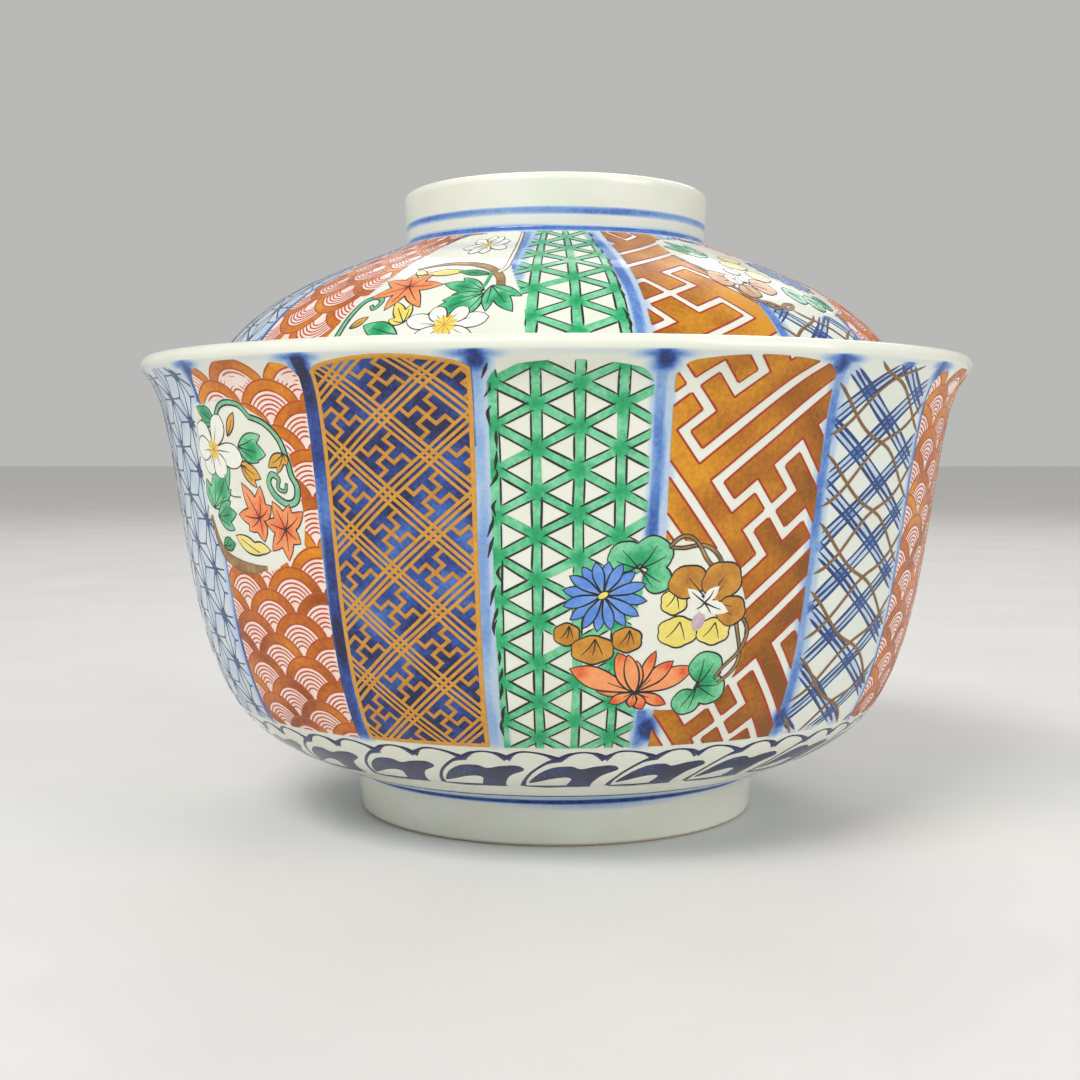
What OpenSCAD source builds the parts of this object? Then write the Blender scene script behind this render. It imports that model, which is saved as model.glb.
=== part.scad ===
// Lidded porcelain rice bowl: a footed bowl with a flared lip, and a domed lid with a ring knob that
// rests inside the lip. Both are solids of revolution about Z, which runs up from the centre of the
// foot's base. Millimetres.

/* [Bowl] */
// Outside diameter of the lip
lip_d = 130; // [124:1:140]
// Height of the lip above the base
bowl_h = 71.2; // [66:0.2:78]
// Outside diameter of the foot ring where it meets the bowl
foot_d = 64.2; // [58:0.2:68]
// Height of the foot ring on its outside
foot_h = 6.9; // [6:0.1:8]
// Thickness of the bowl's wall at its shoulder
wall = 3.8; // [3.2:0.1:4.4]
// Thickness of the rounded lip
lip_t = 2.6; // [2:0.1:3]

/* [Lid] */
// Height of the closed bowl, from the base to the top of the knob ring
total_h = 97.7; // [95:0.1:106]
// Outside diameter of the knob ring at its rim
knob_d = 48.4; // [42:0.2:52]
// Height of the knob ring above the dome, on its outside
knob_h = 8.4; // [7:0.1:10]
// Thickness of the knob ring's rim
knob_t = 2.4; // [2:0.1:3]
// Thickness of the lid's rounded rim
rim_t = 2.6; // [2.2:0.1:3]
// Clearance between the lid's rim and the bowl's inside
seat_gap = 0.35; // [0.3:0.05:0.8]

/* [Hidden] */

$fn = 180;
curve_steps = 12;
arc_steps = 6;
same_point = 0.001;
porcelain = [0.93, 0.945, 0.90];

// Directions, in degrees: straight out from the axis, straight up and straight in
out = 0;
up = 90;
in = 180;

// Lip: a round edge at the top of a flare that slopes this much from the horizontal
lip_r = lip_d / 2;
lip_round = lip_t / 2;
flare_slope = 57;
lip_centre = [lip_r - lip_round, bowl_h - lip_round];

// Foot ring, and the glazed hollow inside it
foot_r = foot_d / 2;
foot_fillet = 0.6;
foot_taper = 0.6;
foot_edge = 0.9;
foot_base_t = 2.9;
foot_root_t = 4.4;
foot_base_r = foot_r - foot_taper;
foot_inner_r = foot_base_r - foot_base_t;
hollow_r = foot_r - foot_root_t;
hollow_h = 4.9;
hollow_fillet = 0.9;
hollow_crown = 0.3;
floor_t = 3.9;

// Bowl's wall: places where its outline is pinned, and the slope of the outline there
belly_slope = 21;
shoulder = [0.8 * lip_r, 0.277 * bowl_h];
shoulder_slope = 60.5;
neck = [0.949 * lip_r, 0.881 * bowl_h];
neck_slope = 77;
neck_wall = 3.5;
foot_root = [foot_r + foot_fillet, foot_h - foot_fillet];
floor_root = [foot_r - 1.2, hollow_h + floor_t + 2.1];

// Lid's round rim, which hangs beside the bowl's neck with the seat gap between them
rim_round = rim_t / 2;
rim_slope = 66;
rim_drop = 8.2;
rim_centre = [neck[0] - neck_wall - seat_gap - rim_round, bowl_h - rim_drop];

// Knob ring, and the hollow inside it
knob_r = knob_d / 2;
knob_round = knob_t / 2;
knob_waist = 0.5;
knob_fillet = 0.7;
knob_root_t = 3.1;
dish_depth = 6.1;
dish_crown = 0.7;
dish_fillet = 1.2;
dish_edge = [knob_r - knob_root_t - dish_fillet, total_h - dish_depth + dish_fillet];
knob_top = [knob_r - knob_round, total_h - knob_round];
knob_root = [knob_r - knob_waist + knob_fillet, total_h - knob_h + knob_fillet];

// Dome of the lid
dome_slope = 26;
dome_t = 3.6;
dome_top = knob_root + knob_fillet * unit(-up - dome_slope);

// Unit vector in a direction
function unit(a) = [cos(a), sin(a)];

// Point at t on a cubic Bezier curve
function bezier(p, t) =
    pow(1 - t, 3) * p[0]
    + 3 * t * pow(1 - t, 2) * p[1]
    + 3 * t * t * (1 - t) * p[2]
    + t * t * t * p[3];

// Control points from one station to the next; a station is
// [point, direction, length of the handle before it, length of the handle after it]
function controls(a, b) = [a[0], a[0] + a[3] * unit(a[1]), b[0] - b[2] * unit(b[1]), b[0]];

// Smooth curve through all the stations
function curve(s) = [
    for (k = [0 : len(s) - 2])
        for (i = [0 : curve_steps])
            bezier(controls(s[k], s[k + 1]), i / curve_steps)
];

// Arc between two directions from its centre
function arc(centre, r, from, to) = [
    for (i = [0 : arc_steps]) centre + r * unit(from + (to - from) * i / arc_steps)
];

// Outline without the points that repeat where two stretches meet
function tidy(p) = [
    for (i = [0 : len(p) - 1]) if (i == 0 || norm(p[i] - p[i - 1]) > same_point) p[i]
];

// From the middle of the hollow under the bowl out to the root of the foot ring
function foot_outline() = concat(
    [[0, hollow_h]],
    arc([hollow_r - hollow_fillet, hollow_h - hollow_crown - hollow_fillet], hollow_fillet, up, out),
    arc([foot_inner_r + foot_edge, foot_edge], foot_edge, in, in + up),
    arc([foot_base_r - foot_edge, foot_edge], foot_edge, -up, out),
    arc(foot_root, foot_fillet, in, up + belly_slope)
);

// Outside of the bowl's wall, from the foot ring up to the lip
function wall_outside() = curve([
    [foot_root + foot_fillet * unit(up + belly_slope), belly_slope, 0, 10.4],
    [shoulder, shoulder_slope, 7.7, 12.6],
    [neck, neck_slope, 12.9, 4],
    [lip_centre + lip_round * unit(flare_slope - up), flare_slope, 2.4, 0]
]);

// Inside of the bowl's wall, from the lip down to the middle of the floor
function wall_inside() = curve([
    [lip_centre + lip_round * unit(flare_slope + up), in + flare_slope, 0, 3],
    [neck + neck_wall * unit(neck_slope + up), in + neck_slope, 3.6, 12.4],
    [shoulder + wall * unit(shoulder_slope + up), in + shoulder_slope, 12, 6.8],
    [floor_root, in + belly_slope, 8, 8],
    [[0, hollow_h + floor_t], in, 15, 0]
]);

// From the middle of the hollow in the knob ring out to the root of the ring
function knob_outline() = concat(
    [[0, total_h - dish_depth + dish_crown]],
    arc(dish_edge, dish_fillet, -up, out),
    arc(knob_top, knob_round, in, out),
    arc(knob_root, knob_fillet, in, in + up - dome_slope)
);

// Outside of the dome, from the knob ring down to the rim
function dome_outside() = curve([
    [dome_top, -dome_slope, 0, 14.4],
    [rim_centre + rim_round * unit(up - rim_slope), -rim_slope, 20, 0]
]);

// Inside of the dome, from the rim up to the middle
function dome_inside() = curve([
    [rim_centre - rim_round * unit(up - rim_slope), in - rim_slope, 0, 19.5],
    [dome_top - dome_t * unit(up - dome_slope), in - dome_slope, 11.5, 5],
    [[0, total_h - dish_depth + dish_crown - dome_t], in, 12, 0]
]);

// Bowl with its foot ring, thrown in one piece
module bowl() {
    color(porcelain)
        rotate_extrude()
            polygon(tidy(concat(
                foot_outline(),
                wall_outside(),
                arc(lip_centre, lip_round, flare_slope - up, flare_slope + up),
                wall_inside()
            )));
}

// Lid with its knob ring, thrown in one piece
module lid() {
    color(porcelain)
        rotate_extrude()
            polygon(tidy(concat(
                knob_outline(),
                dome_outside(),
                arc(rim_centre, rim_round, up - rim_slope, -up - rim_slope),
                dome_inside()
            )));
}

bowl();
lid();
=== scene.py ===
"""Looks of the lidded rice bowl: glazed porcelain with underglaze cobalt and overglaze enamels.

The glaze of each body is one surface of revolution. Soft cobalt washes are colours in that glaze, and so are
two bands of painted shade, under the lip and above the foot.
Enamels, gold and drawn lines are thin raised paint on it, one piece per pigment and body.
Lengths are millimetres until a mesh is made. Every pattern is drawn in flat coordinates (x, y) on a
Patch, which wraps them round a body.
"""

import math

import bpy
import numpy as np
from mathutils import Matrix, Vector, geometry


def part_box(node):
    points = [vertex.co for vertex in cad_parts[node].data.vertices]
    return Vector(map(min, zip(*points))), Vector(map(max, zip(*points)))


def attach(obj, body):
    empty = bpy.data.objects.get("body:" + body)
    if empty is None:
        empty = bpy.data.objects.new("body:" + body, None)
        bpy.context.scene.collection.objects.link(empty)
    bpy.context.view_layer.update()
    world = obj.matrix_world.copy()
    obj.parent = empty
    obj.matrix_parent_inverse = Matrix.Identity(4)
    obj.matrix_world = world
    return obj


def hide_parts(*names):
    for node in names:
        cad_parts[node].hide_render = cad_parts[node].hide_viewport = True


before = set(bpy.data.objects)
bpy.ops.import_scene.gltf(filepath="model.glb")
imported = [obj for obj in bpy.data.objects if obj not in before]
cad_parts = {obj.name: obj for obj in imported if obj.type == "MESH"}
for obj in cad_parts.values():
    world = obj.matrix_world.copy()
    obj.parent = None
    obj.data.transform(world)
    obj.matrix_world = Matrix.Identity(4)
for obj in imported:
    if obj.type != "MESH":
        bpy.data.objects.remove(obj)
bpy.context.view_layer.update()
rng = np.random.default_rng(7)

MM = 0.001
# A flat millimetre round a body turns through DEG_PER_MM, and is a true one at the radius MID_R
DEG_PER_MM = 0.986
MID_R = 58.1
# Outlines stop this near the axis, where a small cap closes them
AXIS_R = 0.02


# ---------------------------------------------------------------- outlines of the two bodies
def unit(deg):
    """Direction in an outline: 0 is straight out from the axis and 90 straight up."""
    return np.array([math.cos(math.radians(deg)), math.sin(math.radians(deg))])


def curve(stations, steps=40):
    """Smooth line through stations (point, direction, handle before, handle after)."""
    out = []
    t = np.linspace(0, 1, steps)[:, None]
    for a, b in zip(stations[:-1], stations[1:]):
        p0, p3 = np.array(a[0], float), np.array(b[0], float)
        p1, p2 = p0 + a[3] * unit(a[1]), p3 - b[2] * unit(b[1])
        out.append((1 - t) ** 3 * p0 + 3 * t * (1 - t) ** 2 * p1 + 3 * t * t * (1 - t) * p2 + t**3 * p3)
    return np.vstack(out)


def arc(centre, r, start, end, steps=10):
    return np.array([np.array(centre) + r * unit(a) for a in np.linspace(start, end, steps + 1)])


def join(*parts):
    p = np.vstack(parts)
    keep = np.r_[True, np.hypot(*np.diff(p, axis=0).T) > 1e-3]
    return p[keep]


def travel(p):
    """Distance along the line p at each of its points."""
    return np.r_[0, np.cumsum(np.hypot(*np.diff(p, axis=0).T))]


def spaced(p, step):
    """The line p with points no more than step apart."""
    p = np.asarray(p, float)
    out = [p[:1]]
    for a, b in zip(p[:-1], p[1:]):
        n = max(1, math.ceil(np.hypot(*(b - a)) / step))
        out.append(a + (b - a) * (np.arange(1, n + 1) / n)[:, None])
    return np.vstack(out)


def closed(p):
    return np.vstack([p, p[:1]])


# Bowl: its lip, its foot ring, and the places that pin its wall
LIP_R, LIP_Z, LIP_ROUND, FLARE = 65.0, 71.2, 1.3, 57
LIP_C = np.array([LIP_R - LIP_ROUND, LIP_Z - LIP_ROUND])
FOOT_R, FOOT_Z, FOOT_FILLET, FOOT_EDGE = 32.1, 6.9, 0.6, 0.9
FOOT_ROOT = np.array([FOOT_R + FOOT_FILLET, FOOT_Z - FOOT_FILLET])
SHOULDER = np.array([0.8 * LIP_R, 0.277 * LIP_Z])
NECK = np.array([0.949 * LIP_R, 0.881 * LIP_Z])
BELLY_SLOPE, SHOULDER_SLOPE, NECK_SLOPE = 21, 60.5, 77
SHOULDER_WALL, NECK_WALL = 3.8, 3.5
WALL_OUT = curve([
    (FOOT_ROOT + FOOT_FILLET * unit(90 + BELLY_SLOPE), BELLY_SLOPE, 0, 10.4),
    (SHOULDER, SHOULDER_SLOPE, 7.7, 12.6),
    (NECK, NECK_SLOPE, 12.9, 4),
    (LIP_C + LIP_ROUND * unit(FLARE - 90), FLARE, 2.4, 0),
])
WALL_IN = curve([
    (LIP_C + LIP_ROUND * unit(FLARE + 90), 180 + FLARE, 0, 3),
    (NECK + NECK_WALL * unit(90 + NECK_SLOPE), 180 + NECK_SLOPE, 3.6, 12.4),
    (SHOULDER + SHOULDER_WALL * unit(90 + SHOULDER_SLOPE), 180 + SHOULDER_SLOPE, 12, 6.8),
    ((30.9, 10.9), 180 + BELLY_SLOPE, 8, 8),
    ((AXIS_R, 8.8), 180, 15, 0),
])
FOOT = join(
    [[AXIS_R, 4.9]],
    arc((26.8, 3.7), FOOT_EDGE, 90, 0),
    arc((29.5, FOOT_EDGE), FOOT_EDGE, 180, 270),
    arc((30.6, FOOT_EDGE), FOOT_EDGE, -90, 0),
    arc(FOOT_ROOT, FOOT_FILLET, 180, 90 + BELLY_SLOPE),
)

# Lid: its rim hangs inside the bowl's neck, and its dome meets the knob ring
RIM_ROUND, RIM_SLOPE, RIM_DROP, SEAT_GAP = 1.3, 66, 8.2, 0.35
RIM_C = np.array([NECK[0] - NECK_WALL - SEAT_GAP - RIM_ROUND, LIP_Z - RIM_DROP])
KNOB_R, TOTAL_Z, KNOB_ROUND, KNOB_FILLET = 24.2, 97.7, 1.2, 0.7
KNOB_ROOT = np.array([24.4, 90.0])
DOME_SLOPE, DOME_WALL = 26, 3.6
DOME_TOP = KNOB_ROOT + KNOB_FILLET * unit(-90 - DOME_SLOPE)
DOME_OUT = curve([
    (DOME_TOP, -DOME_SLOPE, 0, 14.4),
    (RIM_C + RIM_ROUND * unit(90 - RIM_SLOPE), -RIM_SLOPE, 20, 0),
], 70)
DOME_IN = curve([
    (RIM_C - RIM_ROUND * unit(90 - RIM_SLOPE), 180 - RIM_SLOPE, 0, 19.5),
    (DOME_TOP - DOME_WALL * unit(90 - DOME_SLOPE), 180 - DOME_SLOPE, 11.5, 5),
    ((AXIS_R, 88.7), 180, 12, 0),
])
KNOB = join(
    [[AXIS_R, 92.3]],
    arc((19.9, 92.8), KNOB_ROUND, -90, 0),
    arc((KNOB_R - KNOB_ROUND, TOTAL_Z - KNOB_ROUND), KNOB_ROUND, 180, 0),
    arc(KNOB_ROOT, KNOB_FILLET, 180, 270 - DOME_SLOPE),
)


class Skin:
    """A painted surface of revolution: arc length s runs along its outline, with normals n."""

    def __init__(self, outline, side):
        self.p = join(outline)
        self.s = travel(self.p)
        t = np.gradient(self.p, self.s, axis=0)
        t /= np.linalg.norm(t, axis=1)[:, None]
        self.n = side * np.c_[t[:, 1], -t[:, 0]]

    def radius(self, s):
        return np.interp(s, self.s, self.p[:, 0])

    def at_height(self, z):
        order = np.argsort(self.p[:, 1])
        return float(np.interp(z, self.p[order, 1], self.s[order]))

    def place(self, deg, s, lift):
        a = np.radians(deg)
        r, z = np.interp(s, self.s, self.p[:, 0]), np.interp(s, self.s, self.p[:, 1])
        nr, nz = np.interp(s, self.s, self.n[:, 0]), np.interp(s, self.s, self.n[:, 1])
        out = np.c_[np.sin(a) * nr, -np.cos(a) * nr, nz]
        out /= np.linalg.norm(out, axis=1)[:, None]
        pos = np.c_[np.sin(a) * r, -np.cos(a) * r, z] + out * np.asarray(lift).reshape(-1, 1)
        return pos, out


class Patch:
    """Flat millimetres (x, y) on a skin: x runs round from mid, y along the outline from s0."""

    def __init__(self, skin, mid, s0, x_sign=1, y_sign=-1):
        self.skin, self.mid, self.s0, self.xs, self.ys = skin, mid, s0, x_sign, y_sign

    def wrap(self, p):
        return np.c_[self.mid + self.xs * DEG_PER_MM * p[:, 0], self.s0 + self.ys * p[:, 1]]

    def flat(self, q):
        turn = (q[:, 0] - self.mid + 180) % 360 - 180
        return np.c_[self.xs * turn / DEG_PER_MM, self.ys * (q[:, 1] - self.s0)]

    def place(self, p, lift):
        q = self.wrap(p)
        return self.skin.place(q[:, 0], q[:, 1], lift)


BOWL = Skin(WALL_OUT, 1)
LID = Skin(DOME_OUT, -1)
SKINS = {"bowl": BOWL, "lid": LID}


# ---------------------------------------------------------------- meshes
def new_piece(name, body, points, normals, quads, tris, floats, material):
    """A smooth-shaded mesh that rides on a body; floats are its point attributes by name."""
    mesh = bpy.data.meshes.new(name)
    mesh.vertices.add(len(points))
    mesh.vertices.foreach_set("co", (np.asarray(points) * MM).astype(np.float32).ravel())
    quads, tris = np.asarray(quads, np.int32).reshape(-1, 4), np.asarray(tris, np.int32).reshape(-1, 3)
    mesh.loops.add(quads.size + tris.size)
    mesh.loops.foreach_set("vertex_index", np.r_[quads.ravel(), tris.ravel()])
    sizes = np.r_[np.full(len(quads), 4), np.full(len(tris), 3)]
    mesh.polygons.add(len(sizes))
    mesh.polygons.foreach_set("loop_start", np.r_[0, np.cumsum(sizes)[:-1]].astype(np.int32))
    mesh.update(calc_edges=True)
    mesh.validate()
    mesh.polygons.foreach_set("use_smooth", np.ones(len(mesh.polygons), bool))
    for key, values in floats.items():
        layer = mesh.attributes.new(key, "FLOAT", "POINT")
        layer.data.foreach_set("value", np.asarray(values, np.float32))
    mesh.normals_split_custom_set_from_vertices(np.asarray(normals, np.float32))
    mesh.materials.append(material)
    piece = bpy.data.objects.new(name, mesh)
    bpy.context.scene.collection.objects.link(piece)
    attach(piece, body)
    return piece


class Paint:
    """Raised paint of one pigment on one body."""

    made = {}

    def __init__(self, body, pigment):
        self.body, self.pigment = body, pigment
        self.points, self.normals, self.quads, self.tris, self.tones = [], [], [], [], []
        self.count = 0

    @classmethod
    def get(cls, body, pigment):
        if (body, pigment) not in cls.made:
            cls.made[body, pigment] = cls(body, pigment)
        return cls.made[body, pigment]

    def add(self, points, normals, quads, tris, tones):
        self.points.append(points)
        self.normals.append(normals)
        self.quads.append(np.asarray(quads, np.int64).reshape(-1, 4) + self.count)
        self.tris.append(np.asarray(tris, np.int64).reshape(-1, 3) + self.count)
        self.tones.append(np.broadcast_to(tones, len(points)))
        self.count += len(points)

    def build(self):
        new_piece(
            f"{self.body}_{self.pigment}", self.body, np.vstack(self.points), np.vstack(self.normals),
            np.vstack(self.quads), np.vstack(self.tris), {"tone": np.concatenate(self.tones)},
            MATERIALS[self.pigment],
        )


# How high lines and fills lie on the glaze, how much a line's middle stands up, and how deep both root
LINE_LIFT, FILL_LIFT, CROWN, SUNK = 0.02, 0.045, 0.035, -0.03
# How little a line over a fill stands up, and how high cobalt lies that has sunk into the glaze
THIN_CROWN, SOAKED = 0.02, 0.012
# How far the normals at a line's sides lean out, so that it looks round
BEAD_TILT = 0.45


def smooth(p, steps=8, loop=False):
    """Catmull-Rom curve through the points."""
    p = np.asarray(p, float)
    if loop:
        q = np.vstack([p[-1:], p, p[:2]])
    else:
        q = np.vstack([2 * p[:1] - p[1:2], p, 2 * p[-1:] - p[-2:-1]])
    t = (np.arange(steps) / steps)[:, None]
    out = []
    for i in range(1, len(q) - 2):
        a, b, c, d = q[i - 1 : i + 3]
        out.append(b + 0.5 * t * (c - a + t * (2 * a - 5 * b + 4 * c - d + t * (3 * (b - c) + d - a))))
    return np.vstack(out if loop else out + [q[-2:-1]])


def ribbon(body, pigment, patch, p, width, tone=0.5, lift=LINE_LIFT, crown=CROWN):
    """A brush line along p, of true width in mm (one number, or one for each point)."""
    if len(p) < 2:
        return
    pos, out = patch.place(p, lift)
    step = np.diff(pos, axis=0)
    step /= np.linalg.norm(step, axis=1)[:, None] + 1e-9
    along = np.vstack([step[:1], step[:-1] + step[1:], step[-1:]])
    along /= np.linalg.norm(along, axis=1)[:, None] + 1e-9
    mitre = 1 / np.clip(np.r_[1, np.sum(along[1:-1] * step[1:], axis=1), 1], 0.6, 1)
    side = np.cross(out, along)
    half = (np.broadcast_to(width, len(p)) / 2 * mitre)[:, None]
    top = pos + out * crown
    under = pos + out * (SUNK - lift)
    n = len(p)
    pts = np.vstack([pos + side * half, top, pos - side * half, under])
    nrm = np.vstack([out + side * BEAD_TILT, out, out - side * BEAD_TILT, -out])
    nrm /= np.linalg.norm(nrm, axis=1)[:, None]
    i = np.arange(n - 1)
    quads = [
        np.c_[a * n + i, b * n + i, b * n + i + 1, a * n + i + 1] for a, b in ((0, 1), (1, 2), (2, 3), (3, 0))
    ]
    ends = [[0, 2 * n, n], [0, 3 * n, 2 * n], [n - 1, 2 * n - 1, 3 * n - 1], [n - 1, 3 * n - 1, 4 * n - 1]]
    Paint.get(body, pigment).add(pts, nrm, np.vstack(quads), ends, np.tile(np.broadcast_to(tone, n), 4))


def along_line(values, count):
    """One value, or a few that are spread evenly, given at count places."""
    values = np.atleast_1d(values)
    return np.interp(np.linspace(0, 1, count), np.linspace(0, 1, len(values)), values)


def draw(body, pigment, patch, p, width, inside=None, step=0.2, keep=3, taper=0.0, **more):
    """A ribbon along p, cut to where inside(points) is true, with ends that thin out over taper mm."""
    p = spaced(p, step)
    ok = np.ones(len(p), bool) if inside is None else inside(p)
    width = along_line(width, len(p))
    edges = np.flatnonzero(np.diff(np.r_[0, ok.astype(int), 0]))
    for a, b in zip(edges[::2], edges[1::2]):
        if b - a < 3:
            continue
        q, w = p[a:b], width[a:b].copy()
        if taper:
            d = travel(q)
            ends = np.minimum(d, d[-1] - d) / taper
            w = w * np.clip(0.25 + 0.75 * ends, 0.25, 1)
        turn = np.r_[True, np.abs(np.cross(q[2:] - q[1:-1], q[1:-1] - q[:-2])) > 1e-3 * step, True]
        pick = np.flatnonzero((np.arange(len(q)) % keep == 0) | turn)
        pick = np.unique(np.r_[pick, len(q) - 1])
        ribbon(body, pigment, patch, q[pick], w[pick], **more)


def wobble(p, amount, scale=3.0):
    """The line p, shifted a little as by a hand."""
    p = np.asarray(p, float)
    phase = rng.uniform(0, 6.28, 4)
    d = travel(p)
    dx = np.sin(d / scale + phase[0]) + 0.6 * np.sin(d / scale * 2.3 + phase[1])
    dy = np.sin(d / scale + phase[2]) + 0.6 * np.sin(d / scale * 2.1 + phase[3])
    return p + amount * np.c_[dx, dy]


def in_poly(p, poly):
    x, y = p[:, :1], p[:, 1:2]
    a, b = poly, np.roll(poly, -1, axis=0)
    cross = (a[:, 1] > y) != (b[:, 1] > y)
    at = (b[:, 0] - a[:, 0]) * (y - a[:, 1]) / (b[:, 1] - a[:, 1] + 1e-12) + a[:, 0]
    return np.count_nonzero(cross & (x < at), axis=1) % 2 == 1


def in_any(p, polys):
    hit = np.zeros(len(p), bool)
    for poly in polys:
        lo, hi = poly.min(0), poly.max(0)
        near = np.flatnonzero(np.all((p >= lo) & (p <= hi), axis=1) & ~hit)
        if len(near):
            hit[near] = in_poly(p[near], poly)
    return hit


# Spacing of a fill's inner points, and a shift that keeps them off the outlines
GRID = 2.2
GRID_SHIFT = 0.137


def fill(body, pigment, patch, loops, keep, tone=None, lift=FILL_LIFT, grid=GRID):
    """Paint, with a rim down to the glaze, over the parts between the loops where keep(points) is true."""
    lo, hi = np.min([q.min(0) for q in loops], 0), np.max([q.max(0) for q in loops], 0)
    gx, gy = np.meshgrid(np.arange(lo[0], hi[0], grid), np.arange(lo[1], hi[1], grid))
    inner = np.c_[gx.ravel(), gy.ravel()] + GRID_SHIFT
    pts, edges, n = [], [], 0
    for q in loops:
        pts.append(q)
        i = np.arange(len(q))
        edges.append(np.c_[n + i, n + (i + 1) % len(q)])
        n += len(q)
    pts = np.vstack(pts + [inner])
    made = geometry.delaunay_2d_cdt(
        [Vector(v) for v in pts.tolist()], np.vstack(edges).tolist(), [], 0, 1e-5)
    v = np.array([tuple(q) for q in made[0]])
    f = np.array([t for t in made[2] if len(t) == 3], int)
    f = f[keep(v[f].mean(axis=1))]
    if not len(f):
        return
    used, f = np.unique(f, return_inverse=True)
    v, f = v[used], f.reshape(-1, 3)
    a, b, c = v[f[:, 0]], v[f[:, 1]], v[f[:, 2]]
    area = np.cross(b - a, c - a)
    f[area > 0] = f[area > 0][:, ::-1]
    side = np.vstack([f[:, [0, 1]], f[:, [1, 2]], f[:, [2, 0]]])
    key = np.sort(side, axis=1)
    _, first, count = np.unique(key, axis=0, return_index=True, return_counts=True)
    rim = side[first[count == 1]]
    top, out = patch.place(v, lift)
    low, _ = patch.place(v, SUNK)
    n = len(v)
    tones = np.full(n, 0.5) if tone is None else tone(v)
    Paint.get(body, pigment).add(
        np.vstack([top, low]), np.vstack([out, -out]),
        np.c_[rim[:, 1], rim[:, 0], rim[:, 0] + n, rim[:, 1] + n],
        np.vstack([f, f[:, ::-1] + n]), np.r_[tones, tones])


# ---------------------------------------------------------------- layout of the panels
# Borders in degrees from the front: those in front are uneven, and the other panels share the rest
FRONT_BORDERS = [-52.0, -30.5, -9.0, 12.0, 35.0, 56.5]
BACK_PITCH = (360 + FRONT_BORDERS[0] - FRONT_BORDERS[-1]) / 11
BORDERS = FRONT_BORDERS + [FRONT_BORDERS[-1] + BACK_PITCH * k for k in range(1, 12)]
KINDS = "BCDEFBDABCDEFBDA"
TOP_Z, BOTTOM_Z = 68.0, 18.2
TOP_S, BOTTOM_S = BOWL.at_height(TOP_Z), BOWL.at_height(BOTTOM_Z)
LID_TOP_S, LID_BOTTOM_S = LID.s[-1] - 3.2, 1.3
# White left beside each kind of panel, to the viewer's left and right
MARGINS = {
    "A": (1.5, 1.5), "B": (-0.1, 0.8), "C": (1.2, 0.5), "D": (1.4, 0.9), "E": (1.7, 0.2), "F": (0.9, 0.9),
}
# A spray further from a panel than this many degrees can't cover it
COVER_REACH = 60


class Field:
    """One panel: its flat coordinates have x from its middle and y from its arched end.

    White margins narrow it and shift its middle. Its end is an arch with rounded corners, which rises
    past y = 0. The sprays that cover parts of it are polygons in its own coordinates.
    """

    def __init__(self, body, kind, left, right):
        self.body, self.kind = body, kind
        skin, mid = SKINS[body], (left + right) / 2
        self.half = (right - left) / 2 / DEG_PER_MM
        low, high = MARGINS[kind]
        self.margin, self.shift = (low + high) / 2, (low - high) / 2
        if body == "bowl":
            self.patch, self.length = Patch(skin, mid, TOP_S), TOP_S - BOTTOM_S
            self.arch, self.corner = 1.5, 0.5 if kind == "C" else 1.5
            self.rise = 0.0 if kind == "D" else 1.1
        else:
            self.patch, self.length = Patch(skin, mid, LID_TOP_S, -1), LID_TOP_S - LID_BOTTOM_S
            self.shift *= -1
            self.arch, self.corner, self.rise = 0.7, 2.0, 0.0
        self.covers = []
        for q in COVERS[body]:
            centre = q[:, 0].mean()
            turn = (centre - self.patch.mid + 180) % 360 - 180
            if abs(turn) < COVER_REACH:
                x = self.patch.xs * (turn + q[:, 0] - centre) / DEG_PER_MM
                self.covers.append(np.c_[x, self.patch.ys * (q[:, 1] - self.patch.s0)])

    def edge(self, y, inset=0.0):
        s = self.patch.s0 - np.asarray(y)
        return self.half - (self.margin + inset) * MID_R / self.patch.skin.radius(s)

    def start(self, x, inset=0.0):
        u = np.clip(np.abs(x - self.shift) / self.edge(1.0, inset), 0, 1)
        return inset - self.rise + self.arch * u**2 + self.corner * np.clip((u - 0.82) / 0.18, 0, 1) ** 2

    def within(self, p, inset=0.0):
        across = np.abs(p[:, 0] - self.shift) < self.edge(p[:, 1], inset)
        return across & (p[:, 1] > self.start(p[:, 0], inset)) & (p[:, 1] < self.length - inset)

    def inside(self, p, inset=0.0):
        ok = self.within(p, inset)
        near = np.flatnonzero(ok)
        if len(near) and self.covers:
            ok[near] = ~in_any(p[near], self.covers)
        return ok

    def outline(self, inset=0.0):
        """Closed boundary, from the lower left up, over the arch and down."""
        y = np.linspace(self.length - inset, self.corner + self.arch - self.rise + inset, 26)
        x = self.shift + np.linspace(-1, 1, 33)[1:-1] * self.edge(1.0, inset)
        left = np.c_[self.shift - self.edge(y, inset), y]
        top = np.c_[x, self.start(x, inset)]
        right = np.c_[self.shift + self.edge(y, inset), y][::-1]
        x = self.shift + np.linspace(1, -1, 9)[1:-1] * self.edge(self.length, inset)
        return np.vstack([left, top, right, np.c_[x, np.full(7, self.length - inset)]])

    def fill(self, pigment, loops, keep, **more):
        near = [q for q in self.covers if np.any(np.abs(q[:, 0]) < self.half + 2)]
        fill(self.body, pigment, self.patch, [self.outline(), *loops, *near],
             lambda p: self.inside(p) & keep(p), **more)

    def draw(self, pigment, p, width, inside=None, **more):
        test = self.inside if inside is None else (lambda q: self.inside(q) & inside(q))
        draw(self.body, pigment, self.patch, p, width, test, **more)


# ---------------------------------------------------------------- panel patterns
def mottled(p, fine=1.1, phase=0.0):
    """Cheap smooth unevenness from 0 to 1."""
    x, y = p[:, 0] / fine, p[:, 1] / fine
    v = np.sin(x + 1.7 * np.sin(y * 0.7 + phase)) + np.sin(y * 1.3 + 2.1 * np.sin(x * 0.6))
    return 0.5 + 0.22 * v


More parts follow.
